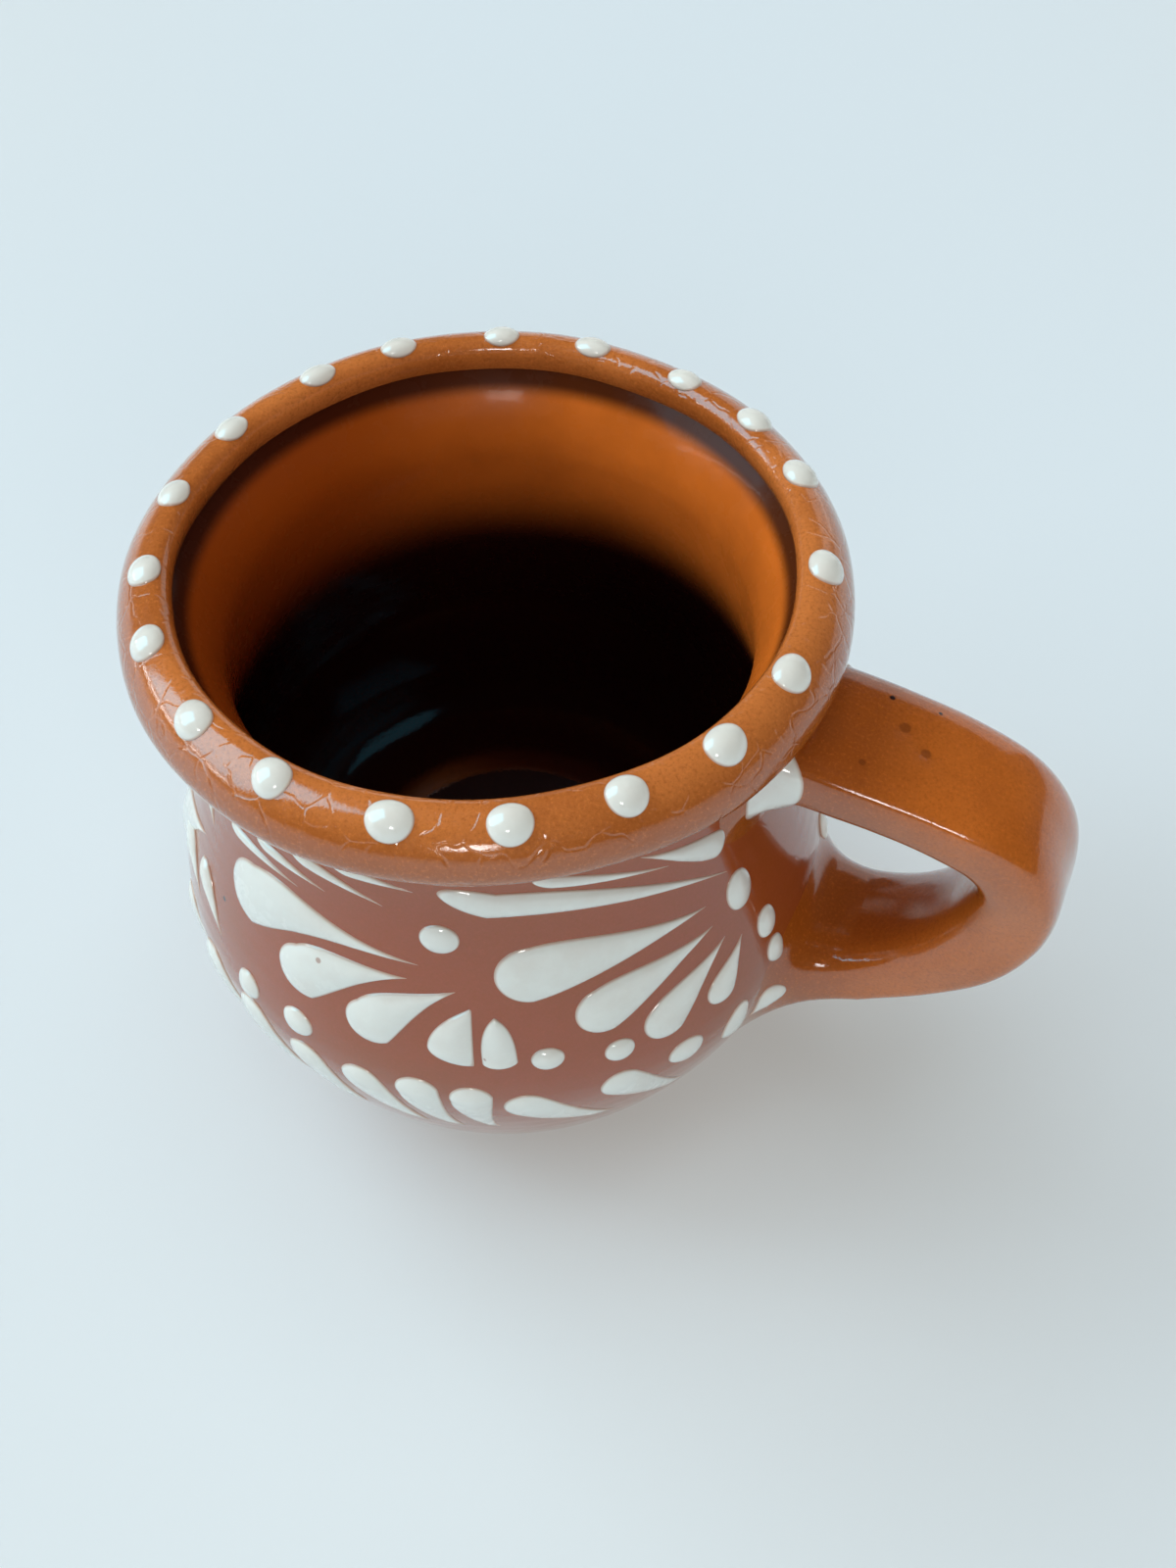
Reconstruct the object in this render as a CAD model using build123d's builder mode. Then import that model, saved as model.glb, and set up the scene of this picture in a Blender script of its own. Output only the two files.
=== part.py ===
from build123d import *
import os
from math import cos, radians, sin

# Outside of the turned body, in mm
foot_radius = 28.0
foot_flare = 35.0  # angle between the ground and the wall where it leaves the foot, degrees
belly_radius = 45.5
belly_height = 37.5
neck_radius = 38.0
neck_height = 77.0

# Roundness of the wall: how far each curve runs straight on, as a share of its height
foot_pull = 0.25
belly_pull_down = 0.29
belly_pull_up = 0.25
neck_pull = 0.34
outer_flare_pull = 0.33
inner_flare_pull = 0.4
floor_pull = 0.6

# Inside of the body
wall = 4.5
floor_thickness = 6.0
floor_radius = 18.0  # flat middle of the floor

# Rolled lip: a leaning oval carried round on top of the neck
lip_overhang = 3.4  # middle of the oval, out from the neck
lip_rise = 11.0  # middle of the oval, up from the neck
lip_width = 9.6
lip_thickness = 5.6
lip_lean = 38.0  # the oval's top leans inwards, degrees from upright
lip_seat = 4.1  # breadth of the wall's edge where it enters the lip
lip_radius = neck_radius + lip_overhang
lip_height = neck_height + lip_rise

# Strap handle, along +X
handle_width = 20.0  # at the neck
handle_taper = 0.2  # share of the width that is lost on the way to the belly
handle_thickness = 9.6
handle_edge = 4.2  # radius of the strap's rounded edges
handle_stand_off = 27.0  # middle of the strap at its outermost point, out from the widest belly
upper_root_drop = 0.9  # below the neck
lower_root_drop = 3.7  # below the widest belly
root_depth = 5.5  # how far the strap's ends run in behind the wall's surface
bend_share = 0.62  # height of the outermost point between the lower root and the upper one
upper_fall = 4.5  # slope of the strap where it leaves the neck, degrees
lower_fall = 4.9  # slope of the strap where it leaves the belly, degrees
upper_break = 15.0  # slope at which the upper arm turns into the bend, degrees
lower_break = 45.0  # slope at which the lower arm turns into the bend, degrees
handle_reach = belly_radius + handle_stand_off

# Clay smoothed round the handle's roots
luting_flare = 4.0
luting_edge = 0.5
upper_luting_reach = 15.0
lower_luting_reach = 18.0

# Hairline between pieces that are fitted to one another's curved faces
joint_gap = 0.05

# White slip trailed over the clay
slip_thickness = 0.9
stroke_reach = 12.0  # half the depth to which a stroke's outline is pushed through the wall
stroke_shoulder = 0.25  # share of a stroke's length over which the head keeps its width
stroke_waist = 0.6  # share of a stroke's length at which it has thinned
stroke_thinness = 0.15  # width there, as a share of the head's

# Round drops along the lip, as they were set by hand: azimuth, and place on the lip's oval
# in degrees from its outer side towards its top
rim_drop_radius = 3.0
rim_drop_sink = 1.4
rim_drop_places = (
    (110, 62), (92, 64), (72, 64), (55, 49), (39, 46), (16, 43), (-9, 47), (-27, 44), (-45, 40), (-63, 34),
    (-81, 34), (-101, 45), (-119, 42), (-138, 40), (-154, 50), (-173, 58), (-192, 62), (-213, 64), (-230, 63),
)

# Sprays: azimuth of each focus, all of them opening towards smaller azimuths
handle_spray_azimuth = -21.5
front_spray_azimuth = -75.5
left_spray_azimuth = -135.5
back_spray_azimuth = -195.0
far_spray_azimuth = -254.0

# Strokes of a spray: head and tail as (azimuth from the focus in degrees, rise along the wall
# in percent from foot to neck), head radius and sideways bow in mm
long_petals = (
    ((-40.5, 78.0), (-2.5, 80.5), 5.2, 2.4),
    ((-27.5, 70.0), (-6.5, 77.0), 4.1, 1.4),
    ((-14.0, 66.0), (1.5, 75.5), 3.8, 0.8),
    ((-1.5, 64.0), (3.0, 72.0), 2.7, 0.0),
    ((7.5, 61.5), (8.5, 70.0), 2.3, 0.0),
    ((-38.5, 89.0), (-24.5, 86.5), 1.1, 0.3),
    ((-31.5, 91.0), (-19.0, 88.5), 1.0, 0.3),
    ((-21.5, 93.0), (-8.5, 89.5), 1.0, 0.3),
    ((-16.5, 95.0), (-3.5, 94.0), 0.9, 0.3),
)
long_petal_drops = (
    ((-1.5, 86.0), 2.5, 2.4),
    ((-28.5, 58.0), 2.5, 2.5),
    ((-40.5, 57.5), 2.2, 2.6),
)
fan_petals = (
    ((-40.5, 78.0), (-4.5, 78.5), 4.3, 0.4),
    ((-28.5, 68.5), (-4.5, 74.5), 4.0, 0.2),
    ((-17.5, 61.0), (-2.5, 70.5), 3.5, 0.4),
    ((-6.5, 60.0), (0.5, 68.0), 2.6, 0.0),
    ((-45.5, 92.5), (1.5, 81.0), 2.1, 4.0),
    ((-28.5, 96.0), (-14.0, 91.5), 1.0, 0.4),
    ((-5.0, 89.5), (-18.0, 96.0), 1.3, 0.3),
)
fan_petal_drops = (
    ((1.5, 75.5), 2.4, 3.1),
    ((-38.5, 61.0), 2.2, 2.0),
    ((-26.5, 59.0), 2.1, 2.0),
)

# Slanting commas round the foot, from the handle's near side all the way to its far side
foot_comma_azimuths = (-48, -64, -73, -82, -92, -103) + tuple(range(-116, -320, -13))
foot_comma_rise = 50.0
foot_comma_fall = 15.0  # percent of the wall from head to tail
foot_comma_turn = 9.0  # degrees from head to tail
foot_comma_radius = 3.0

# Drops beside the handle's roots: (azimuth, rise), half width and half height, mirrored in the handle
root_drops = (
    ((-15.5, 65.0), 2.0, 2.6),
    ((-25.0, 51.0), 2.4, 3.4),
    ((-36.0, 51.5), 2.8, 2.5),
)
# Drops on the clay of the roots: share of the strap's length, height across the strap, half width
# and half height
luting_drops = (
    (0.10, -0.5, 2.4, 3.6),
    (0.90, 3.0, 1.8, 2.2),
    (0.91, -2.2, 2.0, 2.4),
)


def outside_of_wall(swell):
    """Outline of the body from the foot up into the lip, swollen outwards."""
    rise = neck_height - belly_height
    pull = foot_pull * belly_height
    lean = radians(lip_lean)
    edge = lip_seat / 2
    seat = (lip_radius + edge * sin(lean) + swell, lip_height - edge * cos(lean))
    flare = outer_flare_pull * (lip_height - neck_height)
    foot = (foot_radius + swell, 0)
    foot_side = (foot[0] + pull * cos(radians(foot_flare)), pull * sin(radians(foot_flare)))
    belly = (belly_radius + swell, belly_height)
    neck = (neck_radius + swell, neck_height)
    below_belly = (belly[0], belly_height - belly_pull_down * belly_height)
    above_belly = (belly[0], belly_height + belly_pull_up * rise)
    below_neck = (neck[0], neck_height - neck_pull * rise)
    below_seat = (seat[0] - flare * cos(lean), seat[1] - flare * sin(lean))
    Bezier(foot, foot_side, below_belly, belly)
    Bezier(belly, above_belly, below_neck, neck)
    Bezier(neck, (neck[0], neck_height + flare), below_seat, seat)
    return foot, seat


def inside_of_wall():
    """Outline of the hollow from the lip down to the floor."""
    rise = neck_height - belly_height
    lean = radians(lip_lean)
    edge = lip_seat / 2
    seat = (lip_radius - edge * sin(lean), lip_height + edge * cos(lean))
    flare = inner_flare_pull * (lip_height - neck_height)
    neck = (neck_radius - wall, neck_height)
    belly = (belly_radius - wall, belly_height)
    below_seat = (seat[0] - flare * cos(lean), seat[1] - flare * sin(lean))
    below_neck = (neck[0], neck_height - neck_pull * rise)
    above_belly = (belly[0], belly_height + belly_pull_up * rise)
    below_belly = (belly[0], belly_height - floor_pull * (belly_height - floor_thickness))
    floor_side = (floor_radius + floor_pull * (belly[0] - floor_radius), floor_thickness)
    floor_edge = (floor_radius, floor_thickness)
    Bezier(seat, below_seat, (neck[0], neck_height + flare), neck)
    Bezier(neck, below_neck, above_belly, belly)
    Bezier(belly, below_belly, floor_side, floor_edge)
    return seat, floor_edge


def solid_body(swell):
    """The body's outer form as one full solid of revolution."""
    with BuildSketch(Plane.XZ) as half:
        with BuildLine():
            foot, seat = outside_of_wall(swell)
            Polyline(seat, (0, seat[1]), (0, 0), foot)
        make_face()
    revolve(half.sketch, axis=Axis.Z)


def oval_ring(grow):
    """The lip's leaning oval carried round the axis, grown all round."""
    with BuildSketch(Plane.XZ) as oval:
        with Locations((lip_radius, lip_height)):
            Ellipse(lip_thickness / 2 + grow, lip_width / 2 + grow, rotation=lip_lean)
    revolve(oval.sketch, axis=Axis.Z)


def arm_radii(run, climb, first_slope, break_slope):
    """Radii of the two arcs that lead a handle arm from its root to the upright middle of the bend."""
    a, b = radians(first_slope), radians(break_slope)
    across, up = sin(b) - sin(a), cos(a) - cos(b)
    spread = across * cos(b) - (1 - sin(b)) * up
    arm = (run * cos(b) - (1 - sin(b)) * climb) / spread
    bend = (across * climb - up * run) / spread
    return arm, bend


def strap_plane(share):
    """Plane square to the strap at a share of its length, X across the strap."""
    return Plane(origin=strap_line @ share, x_dir=(0, 1, 0), z_dir=strap_line % share)


def strap_section(share, grow):
    """The strap's rounded section at a share of its length, grown all round."""
    width = handle_width * (1 - handle_taper * share)
    with BuildSketch(strap_plane(share)) as section:
        RectangleRounded(width + 2 * grow, handle_thickness + 2 * grow, handle_edge + grow)
    return section.sketch


def tapered_strap(grow):
    """The whole strap from root to root, grown all round."""
    sweep([strap_section(0, grow), strap_section(1, grow)], path=strap_line, multisection=True)


def upper_collar(grow):
    """Flaring sleeve round the strap's upper root, grown all round."""
    end = upper_luting_reach / strap_line.length
    loft([strap_section(0, luting_flare + grow), strap_section(end, luting_edge + grow)])


def lower_collar(grow):
    """Flaring sleeve round the strap's lower root, grown all round."""
    end = 1 - lower_luting_reach / strap_line.length
    loft([strap_section(1, luting_flare + grow), strap_section(end, luting_edge + grow)])


def wall_point(azimuth, rise):
    """Point on the outside of the wall at an azimuth and a rise in percent from foot to neck."""
    spot = wall_line @ (rise / 100)
    turn = radians(azimuth)
    return Vector(spot.X * cos(turn), spot.X * sin(turn), spot.Z)


def facing(azimuth):
    """Level direction out of the wall at an azimuth."""
    return Vector(cos(radians(azimuth)), sin(radians(azimuth)), 0)


def pushed_through(outline):
    """Prism of a stroke's outline, from inside the wall to outside it."""
    return extrude(outline.sketch, amount=2 * stroke_reach, mode=Mode.PRIVATE)


def teardrop(head, tail, radius, bow):
    """Trailed stroke: a round head drawn out to a pointed tail."""
    start, end = wall_point(*head), wall_point(*tail)
    outward = facing((head[0] + tail[0]) / 2)
    along = (end - start) - outward * (end - start).dot(outward)
    length = along.length
    with BuildSketch(Plane(origin=start - outward * stroke_reach, x_dir=along, z_dir=outward)) as outline:
        with BuildLine():
            for side in (radius, -radius):
                shoulder = (stroke_shoulder * length, bow + side)
                waist = (stroke_waist * length, bow + stroke_thinness * side)
                Bezier((0, side), shoulder, waist, (length, 0))
            ThreePointArc((0, radius), (-radius, 0), (0, -radius))
        make_face()
    return pushed_through(outline)


def drop(place, half_width, half_height):
    """Single drop of slip."""
    outward, level = facing(place[0]), facing(place[0] + 90)
    inside = wall_point(*place) - outward * stroke_reach
    with BuildSketch(Plane(origin=inside, x_dir=level, z_dir=outward)) as outline:
        Ellipse(half_width, half_height)
    return pushed_through(outline)


def spray(focus, petals, drops):
    """Petals and drops of one spray, set round its focus."""
    strokes = []
    for head, tail, radius, bow in petals:
        strokes.append(teardrop((focus + head[0], head[1]), (focus + tail[0], tail[1]), radius, bow))
    for place, half_width, half_height in drops:
        strokes.append(drop((focus + place[0], place[1]), half_width, half_height))
    return strokes


def rim_drop_middle(place):
    """Middle of a drop's ball at a place on the lip's oval, sunk into the lip, at azimuth 0."""
    turn = radians(place)
    spot = Vector(lip_thickness / 2 * cos(turn), 0, lip_width / 2 * sin(turn))
    outward = Vector(lip_width * cos(turn), 0, lip_thickness * sin(turn)).normalized()
    return Vector(lip_radius, 0, lip_height) + (spot - outward * rim_drop_sink).rotate(Axis.Y, -lip_lean)


def turned(azimuth):
    """Turn about the upright axis."""
    return Location((0, 0, 0), (0, 0, azimuth))


# Outline of the wall from foot to neck, on which the slip is placed
with BuildLine(Plane.XZ) as wall_outline:
    outside_of_wall(0)
wall_line = Wire(wall_outline.edges().sort_by(Axis.Z)[0:2])

# Rolled lip, and the room that it takes up
with BuildPart() as rim_coil:
    oval_ring(0)
with BuildPart() as rim_room:
    oval_ring(joint_gap)

# Turned body: floor, belly and neck, its top edge seated in the lip
with BuildPart() as vessel_body:
    with BuildSketch(Plane.XZ):
        with BuildLine():
            foot, outer_seat = outside_of_wall(0)
            inner_seat, floor_edge = inside_of_wall()
            Line(outer_seat, inner_seat)
            Polyline(floor_edge, (0, floor_thickness), (0, 0), foot)
        make_face()
    revolve(axis=Axis.Z)
    add(rim_room.part, mode=Mode.SUBTRACT)

# Room that the body takes up, hollow included, against which everything outside is fitted
with BuildPart() as body_room:
    solid_body(joint_gap)

# Middle line of the strap, from the neck out, round the bend and back to the belly
upper_root = (neck_radius - root_depth, neck_height - upper_root_drop)
lower_root = (belly_radius - root_depth, belly_height - lower_root_drop)
bend_height = lower_root[1] + bend_share * (upper_root[1] - lower_root[1])
upper_arm, upper_bend = arm_radii(
    handle_reach - upper_root[0], upper_root[1] - bend_height, upper_fall, upper_break
)
lower_arm, lower_bend = arm_radii(
    handle_reach - lower_root[0], bend_height - lower_root[1], -lower_fall, lower_break
)
with BuildLine(Plane.XZ) as strap_path:
    outward = (cos(radians(upper_fall)), -sin(radians(upper_fall)))
    first = JernArc(upper_root, outward, upper_arm, upper_fall - upper_break)
    second = JernArc(first @ 1, first % 1, upper_bend, upper_break - 90)
    third = JernArc(second @ 1, second % 1, lower_bend, lower_break - 90)
    fourth = JernArc(third @ 1, third % 1, lower_arm, -lower_break - lower_fall)
strap_line = strap_path.wire()

# Pulled strap handle, its ends cut to the body and the underside of the lip
with BuildPart() as handle_strap:
    tapered_strap(0)
    add(body_room.part, mode=Mode.SUBTRACT)
    add(rim_room.part, mode=Mode.SUBTRACT)
with BuildPart() as strap_room:
    tapered_strap(joint_gap)

# Clay smoothed round the two roots, in the corner between strap and wall
with BuildPart() as upper_luting:
    upper_collar(0)
    add(strap_room.part, mode=Mode.SUBTRACT)
    add(body_room.part, mode=Mode.SUBTRACT)
    add(rim_room.part, mode=Mode.SUBTRACT)
with BuildPart() as lower_luting:
    lower_collar(0)
    add(strap_room.part, mode=Mode.SUBTRACT)
    add(body_room.part, mode=Mode.SUBTRACT)
with BuildPart() as roots_room:
    upper_collar(joint_gap)
    lower_collar(joint_gap)

# Skin that the slip fills: over the body, clear of the lip
with BuildPart() as wall_skin:
    solid_body(slip_thickness)
    add(body_room.part, mode=Mode.SUBTRACT)
    add(rim_room.part, mode=Mode.SUBTRACT)

# Round drops along the lip
with BuildPart() as rim_drops:
    with Locations([turned(azimuth) * Pos(rim_drop_middle(place)) for azimuth, place in rim_drop_places]):
        Sphere(rim_drop_radius)
    add(rim_room.part, mode=Mode.SUBTRACT)

# Sprays round the belly
with BuildPart() as handle_spray:
    add(spray(handle_spray_azimuth, fan_petals, fan_petal_drops))
    add(wall_skin.part, mode=Mode.INTERSECT)
    add(roots_room.part, mode=Mode.SUBTRACT)
with BuildPart() as front_spray:
    add(spray(front_spray_azimuth, long_petals, long_petal_drops))
    add(wall_skin.part, mode=Mode.INTERSECT)
with BuildPart() as left_spray:
    with Locations(turned(left_spray_azimuth - front_spray_azimuth)):
        add(front_spray.part)
with BuildPart() as back_spray:
    add(spray(back_spray_azimuth, fan_petals, fan_petal_drops))
    add(wall_skin.part, mode=Mode.INTERSECT)
with BuildPart() as far_spray:
    with Locations(turned(far_spray_azimuth - front_spray_azimuth)):
        add(front_spray.part)

# Commas round the foot
with BuildPart() as foot_comma:
    comma_tail = (foot_comma_turn, foot_comma_rise - foot_comma_fall)
    add(teardrop((0, foot_comma_rise), comma_tail, foot_comma_radius, 0))
    add(wall_skin.part, mode=Mode.INTERSECT)
with BuildPart() as foot_commas:
    with Locations([turned(azimuth) for azimuth in foot_comma_azimuths]):
        add(foot_comma.part)

# Drops beside the roots, alike on both sides of the handle
with BuildPart() as beside_root_drops:
    for (azimuth, rise), half_width, half_height in root_drops:
        for mirrored in (azimuth, -azimuth):
            add(drop((mirrored, rise), half_width, half_height))
    add(wall_skin.part, mode=Mode.INTERSECT)
    add(roots_room.part, mode=Mode.SUBTRACT)

# Drops on the clay of the roots, on both sides of the strap
with BuildPart() as luting_skin:
    upper_collar(slip_thickness)
    lower_collar(slip_thickness)
    add(roots_room.part, mode=Mode.SUBTRACT)
    add(strap_room.part, mode=Mode.SUBTRACT)
    add(body_room.part, mode=Mode.SUBTRACT)
    add(rim_room.part, mode=Mode.SUBTRACT)
with BuildPart() as on_root_drops:
    for share, height, half_width, half_height in luting_drops:
        middle = strap_line @ share
        with BuildSketch(Plane(origin=(middle.X, 0, middle.Z + height), x_dir=(1, 0, 0), z_dir=(0, -1, 0))):
            Ellipse(half_width, half_height)
        extrude(amount=handle_width, both=True)
    add(luting_skin.part, mode=Mode.INTERSECT)

pieces = {
    "vessel_body": vessel_body,
    "rim_coil": rim_coil,
    "handle_strap": handle_strap,
    "upper_luting": upper_luting,
    "lower_luting": lower_luting,
    "rim_drops": rim_drops,
    "handle_spray": handle_spray,
    "front_spray": front_spray,
    "left_spray": left_spray,
    "back_spray": back_spray,
    "far_spray": far_spray,
    "foot_commas": foot_commas,
    "beside_root_drops": beside_root_drops,
    "on_root_drops": on_root_drops,
}
os.makedirs("parts", exist_ok=True)
for name, piece in pieces.items():
    piece.part.label = name
    export_step(piece.part, f"parts/{name}.step")
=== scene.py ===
import math
from collections import namedtuple
from functools import partial

import bmesh
import bpy
import numpy as np
from bpy.props import FloatProperty, FloatVectorProperty, PointerProperty
from mathutils import Euler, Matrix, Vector, noise
from mathutils.bvhtree import BVHTree


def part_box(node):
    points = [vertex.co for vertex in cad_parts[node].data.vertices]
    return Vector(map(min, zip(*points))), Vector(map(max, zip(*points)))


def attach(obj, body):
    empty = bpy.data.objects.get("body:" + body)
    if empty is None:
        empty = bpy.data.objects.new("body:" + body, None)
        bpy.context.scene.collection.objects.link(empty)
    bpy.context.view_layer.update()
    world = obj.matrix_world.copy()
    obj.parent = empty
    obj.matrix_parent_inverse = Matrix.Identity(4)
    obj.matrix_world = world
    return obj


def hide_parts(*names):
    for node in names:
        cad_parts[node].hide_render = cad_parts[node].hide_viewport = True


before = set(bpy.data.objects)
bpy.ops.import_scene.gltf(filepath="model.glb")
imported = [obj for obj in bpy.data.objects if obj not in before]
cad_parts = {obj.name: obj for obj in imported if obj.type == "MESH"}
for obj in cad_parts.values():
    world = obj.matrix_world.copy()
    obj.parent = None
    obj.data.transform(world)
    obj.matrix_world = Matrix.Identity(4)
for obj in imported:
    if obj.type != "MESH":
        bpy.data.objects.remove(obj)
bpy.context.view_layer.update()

bl_info = {
    "name": "Clay mug with white slip",
    "version": (1, 0, 0),
    "blender": (4, 5, 0),
    "location": "View3D > Sidebar > Clay mug",
    "description": "Glazed clay mug with a rolled lip, a strap handle and trailed white slip petals",
    "category": "Add Mesh",
}

MM = 0.001
ROUND = 2 * math.pi

BODY_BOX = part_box("vessel_body")
STRAP_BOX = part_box("handle_strap")


# Sizes, colours and stage settings that a user would change


def length(name, description, default):
    """A length in metres, shown in the scene's unit."""
    return FloatProperty(name=name, description=description, default=default, unit="LENGTH", precision=4)


def angle(name, description, degrees):
    """An angle, given in degrees."""
    return FloatProperty(name=name, description=description, default=math.radians(degrees), subtype="ANGLE")


def share(name, description, default):
    """A number from 0 to 1."""
    return FloatProperty(name=name, description=description, default=default, subtype="FACTOR", min=0, max=1)


def power(name, description, watts):
    """The power of a lamp."""
    return FloatProperty(name=name, description=description, default=watts, unit="POWER")


def colour(name, description, default):
    """A colour in linear light."""
    return FloatVectorProperty(
        name=name, description=description, default=default, subtype="COLOR", size=3, min=0, max=1
    )


class ClayMugSizes(bpy.types.PropertyGroup):
    """Sizes of the clay form and of the slip on it."""

    foot_radius: length("Foot radius", "Flat disc that the mug stands on", 28 * MM)
    foot_flare: angle("Foot flare", "Angle between the ground and the wall at the foot", 35)
    foot_edge: length("Foot edge", "Rounding of the foot's rim", 1.2 * MM)
    belly_radius: length("Belly radius", "Widest part of the body", BODY_BOX[1].y)
    belly_height: length("Belly height", "Height of the widest part", 37.5 * MM)
    neck_radius: length("Neck radius", "Narrowest part below the lip", 38 * MM)
    neck_height: length("Neck height", "Height of the narrowest part", 77 * MM)
    wall: length("Wall", "Thickness of the turned wall", 4.5 * MM)
    floor_thickness: length("Floor", "Thickness of the floor", 6 * MM)
    floor_radius: length("Floor radius", "Flat middle of the floor", 18 * MM)
    lip_radius: length("Lip radius", "Middle of the rolled lip, from the axis", 41.4 * MM)
    lip_height: length("Lip height", "Middle of the rolled lip, from the ground", 88 * MM)
    lip_width: length("Lip width", "Long way of the lip's oval", 9.6 * MM)
    lip_thickness: length("Lip thickness", "Short way of the lip's oval", 5.6 * MM)
    lip_lean: angle("Lip lean", "How far the lip's top leans inwards", 38)
    lip_seat: length("Lip seat", "Breadth of the wall's edge in the lip", 4.1 * MM)
    handle_width: length("Handle width", "Width of the strap", STRAP_BOX[1].y - STRAP_BOX[0].y)
    handle_taper: share("Handle taper", "Share of the width that is lost on the way to the belly", 0.2)
    handle_thickness: length("Handle thickness", "Thickness of the strap", 9.6 * MM)
    handle_reach: length("Handle reach", "Middle of the strap at its outermost point", 72.5 * MM)
    upper_root_height: length("Upper root height", "Middle of the strap at the neck", 76.1 * MM)
    lower_root_height: length("Lower root height", "Middle of the strap at the belly", 33.8 * MM)
    root_depth: length("Root depth", "How far the strap runs in behind the wall's surface", 5.5 * MM)
    bend_share: share("Bend", "Height of the outermost point between the roots", 0.62)
    upper_fall: angle("Upper fall", "Slope of the strap at the neck", 4.5)
    upper_break: angle("Upper break", "Slope at which the upper arm turns into the bend", 15)
    lower_fall: angle("Lower fall", "Slope of the strap at the belly", 4.9)
    lower_break: angle("Lower break", "Slope at which the lower arm turns into the bend", 45)
    upper_fillet: length("Upper smoothing", "Clay smoothed round the upper root", 4.2 * MM)
    lower_fillet: length("Lower smoothing", "Clay smoothed round the lower root", 5 * MM)
    slip_height: length("Slip height", "How far the slip stands off the clay", 0.94 * MM)
    rim_drop_radius: length("Rim drop radius", "Drops along the lip", 2.6 * MM)
    rim_drop_height: length("Rim drop height", "How far a drop stands off the lip", 1.35 * MM)


class ClayMugColours(bpy.types.PropertyGroup):
    """Colours of the clay and the slip."""

    clay: colour("Clay", "Glazed red clay", (0.38, 0.082, 0.026))
    lip_clay: colour("Lip clay", "Paler clay of the lip", (0.70, 0.225, 0.052))
    handle_clay: colour("Handle clay", "Clay of the strap", (0.64, 0.168, 0.022))
    # Its own dark tone, and also painted shade on the lip's outer side and on the strap near its roots
    deep_clay_and_shade: colour("Deep clay", "Clay where the glaze lies thick", (0.33, 0.075, 0.008))
    hollow: colour("Hollow", "Inside of the neck", (0.74, 0.185, 0.022))
    # Painted shade, nearly black, deep in the belly and in the groove below the lip; also the dark specks on
    # the clay
    specks_and_hollow_shade: colour("Deep hollow", "Inside of the belly", (0.020, 0.0035, 0.0025))
    # Painted shade on the darker side of the neck's inside
    hollow_side_shade: colour("Thick hollow", "Where the glaze ran thicker inside", (0.30, 0.052, 0.004))
    dent: colour("Dents", "Glaze gathered in the strap's dents", (0.10, 0.022, 0.006))
    bare_clay: colour("Bare clay", "Unglazed foot", (0.50, 0.20, 0.08))
    slip: colour("Slip", "White slip under the glaze", (0.92, 0.96, 0.90))
    slip_thin: colour("Thin slip", "Edges where clay shows through the slip", (0.60, 0.42, 0.32))
    floor: colour("Floor", "Floor under the mug", (0.55, 0.69, 0.79))


class ClayMugStage(bpy.types.PropertyGroup):
    """Camera and lights."""

    camera_place: FloatVectorProperty(
        name="Camera place", description="Where the camera stands", subtype="TRANSLATION", unit="LENGTH",
        default=(0.06894, -0.13768, 0.24149),
    )
    camera_turn: FloatVectorProperty(
        name="Camera turn", description="Which way the camera looks", subtype="EULER", unit="ROTATION",
        default=(0.6636, 0.0136, 0.3701),
    )
    camera_lens: FloatProperty(
        name="Camera lens", description="Focal length in mm", default=40.5, subtype="DISTANCE_CAMERA"
    )
    window_power: power("Window power", "Soft box on the left, seen in the glaze", 55)
    sill_power: power("Sill power", "Bright strip along the soft box's lower edge", 5)
    glint_power: power("Glint power", "Small lamp in front, seen in the glaze", 6)
    backdrop_power: power("Backdrop power", "Pale wall behind, seen in the glaze", 5.5)
    daylight_power: power("Daylight power", "Soft light from high on the left", 54)
    left_power: power("Left power", "Soft light from low on the left", 36)
    back_power: power("Back power", "Soft light from behind on the left", 13)
    front_power: power("Front power", "Soft light from the camera's side", 16)
    overhead_power: power("Overhead power", "Soft light from above", 13)
    right_power: power("Right power", "Warm light from the handle's side", 3)
    right_back_power: power("Right back power", "Warm light from behind the handle", 6)
    floor_glow: share("Floor glow", "How much paler the floor shows", 0.22)
    low_light: share("Low room light", "Pale walls near the horizon", 0.7)
    high_light: share("High room light", "Dark ceiling", 0.02)


# Turned wall

# Pulls of the outline's curves, as shares of the heights and widths that they span
FOOT_PULL, BELLY_PULL_DOWN, BELLY_PULL_UP, NECK_PULL = 0.25, 0.29, 0.25, 0.34
LIP_PULL_OUTSIDE, LIP_PULL_INSIDE, FLOOR_PULL = 0.33, 0.4, 0.6

# Steps round the body, and unevenness of its wall; the middles of foot and floor stay true
WALL_STEPS = 240
WALL_UNEVENNESS = 0.16 * MM
TRUE_MIDDLE = 20 * MM

# The foot's underside from the middle out: shares of its radius, and of the lift of its shallow hollow
FOOT_HOLLOW = ((0.3, 1), (0.8, 1), (0.86, 0.2), (0.9, 0))
FOOT_LIFT = 0.4 * MM
# Its rounded edge, in shares of the rounding in from the side and up, and where the wall takes over
FOOT_ROUNDING, ROUNDING_TOP = ((1, 0), (0.4, 0.12)), 0.3
# Rings on the flat of the floor inside, as shares of its radius
FLOOR_RINGS = (0.7, 0.35)
# The body's finishes by number
OUTSIDE, HOLLOW, FOOT = 0, 1, 2

# Points along the outline's curves: outside, outside and inside below the lip, and inside
OUTER_POINTS, LIP_OUTER_POINTS, LIP_INNER_POINTS, INNER_POINTS = 60, 14, 20, 44


def bezier(points, count):
    """Points along a cubic curve."""
    p = np.array(points, float)
    t = np.linspace(0, 1, count)[:, None]
    return (1 - t) ** 3 * p[0] + 3 * t * (1 - t) ** 2 * p[1] + 3 * t * t * (1 - t) * p[2] + t**3 * p[3]


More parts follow.
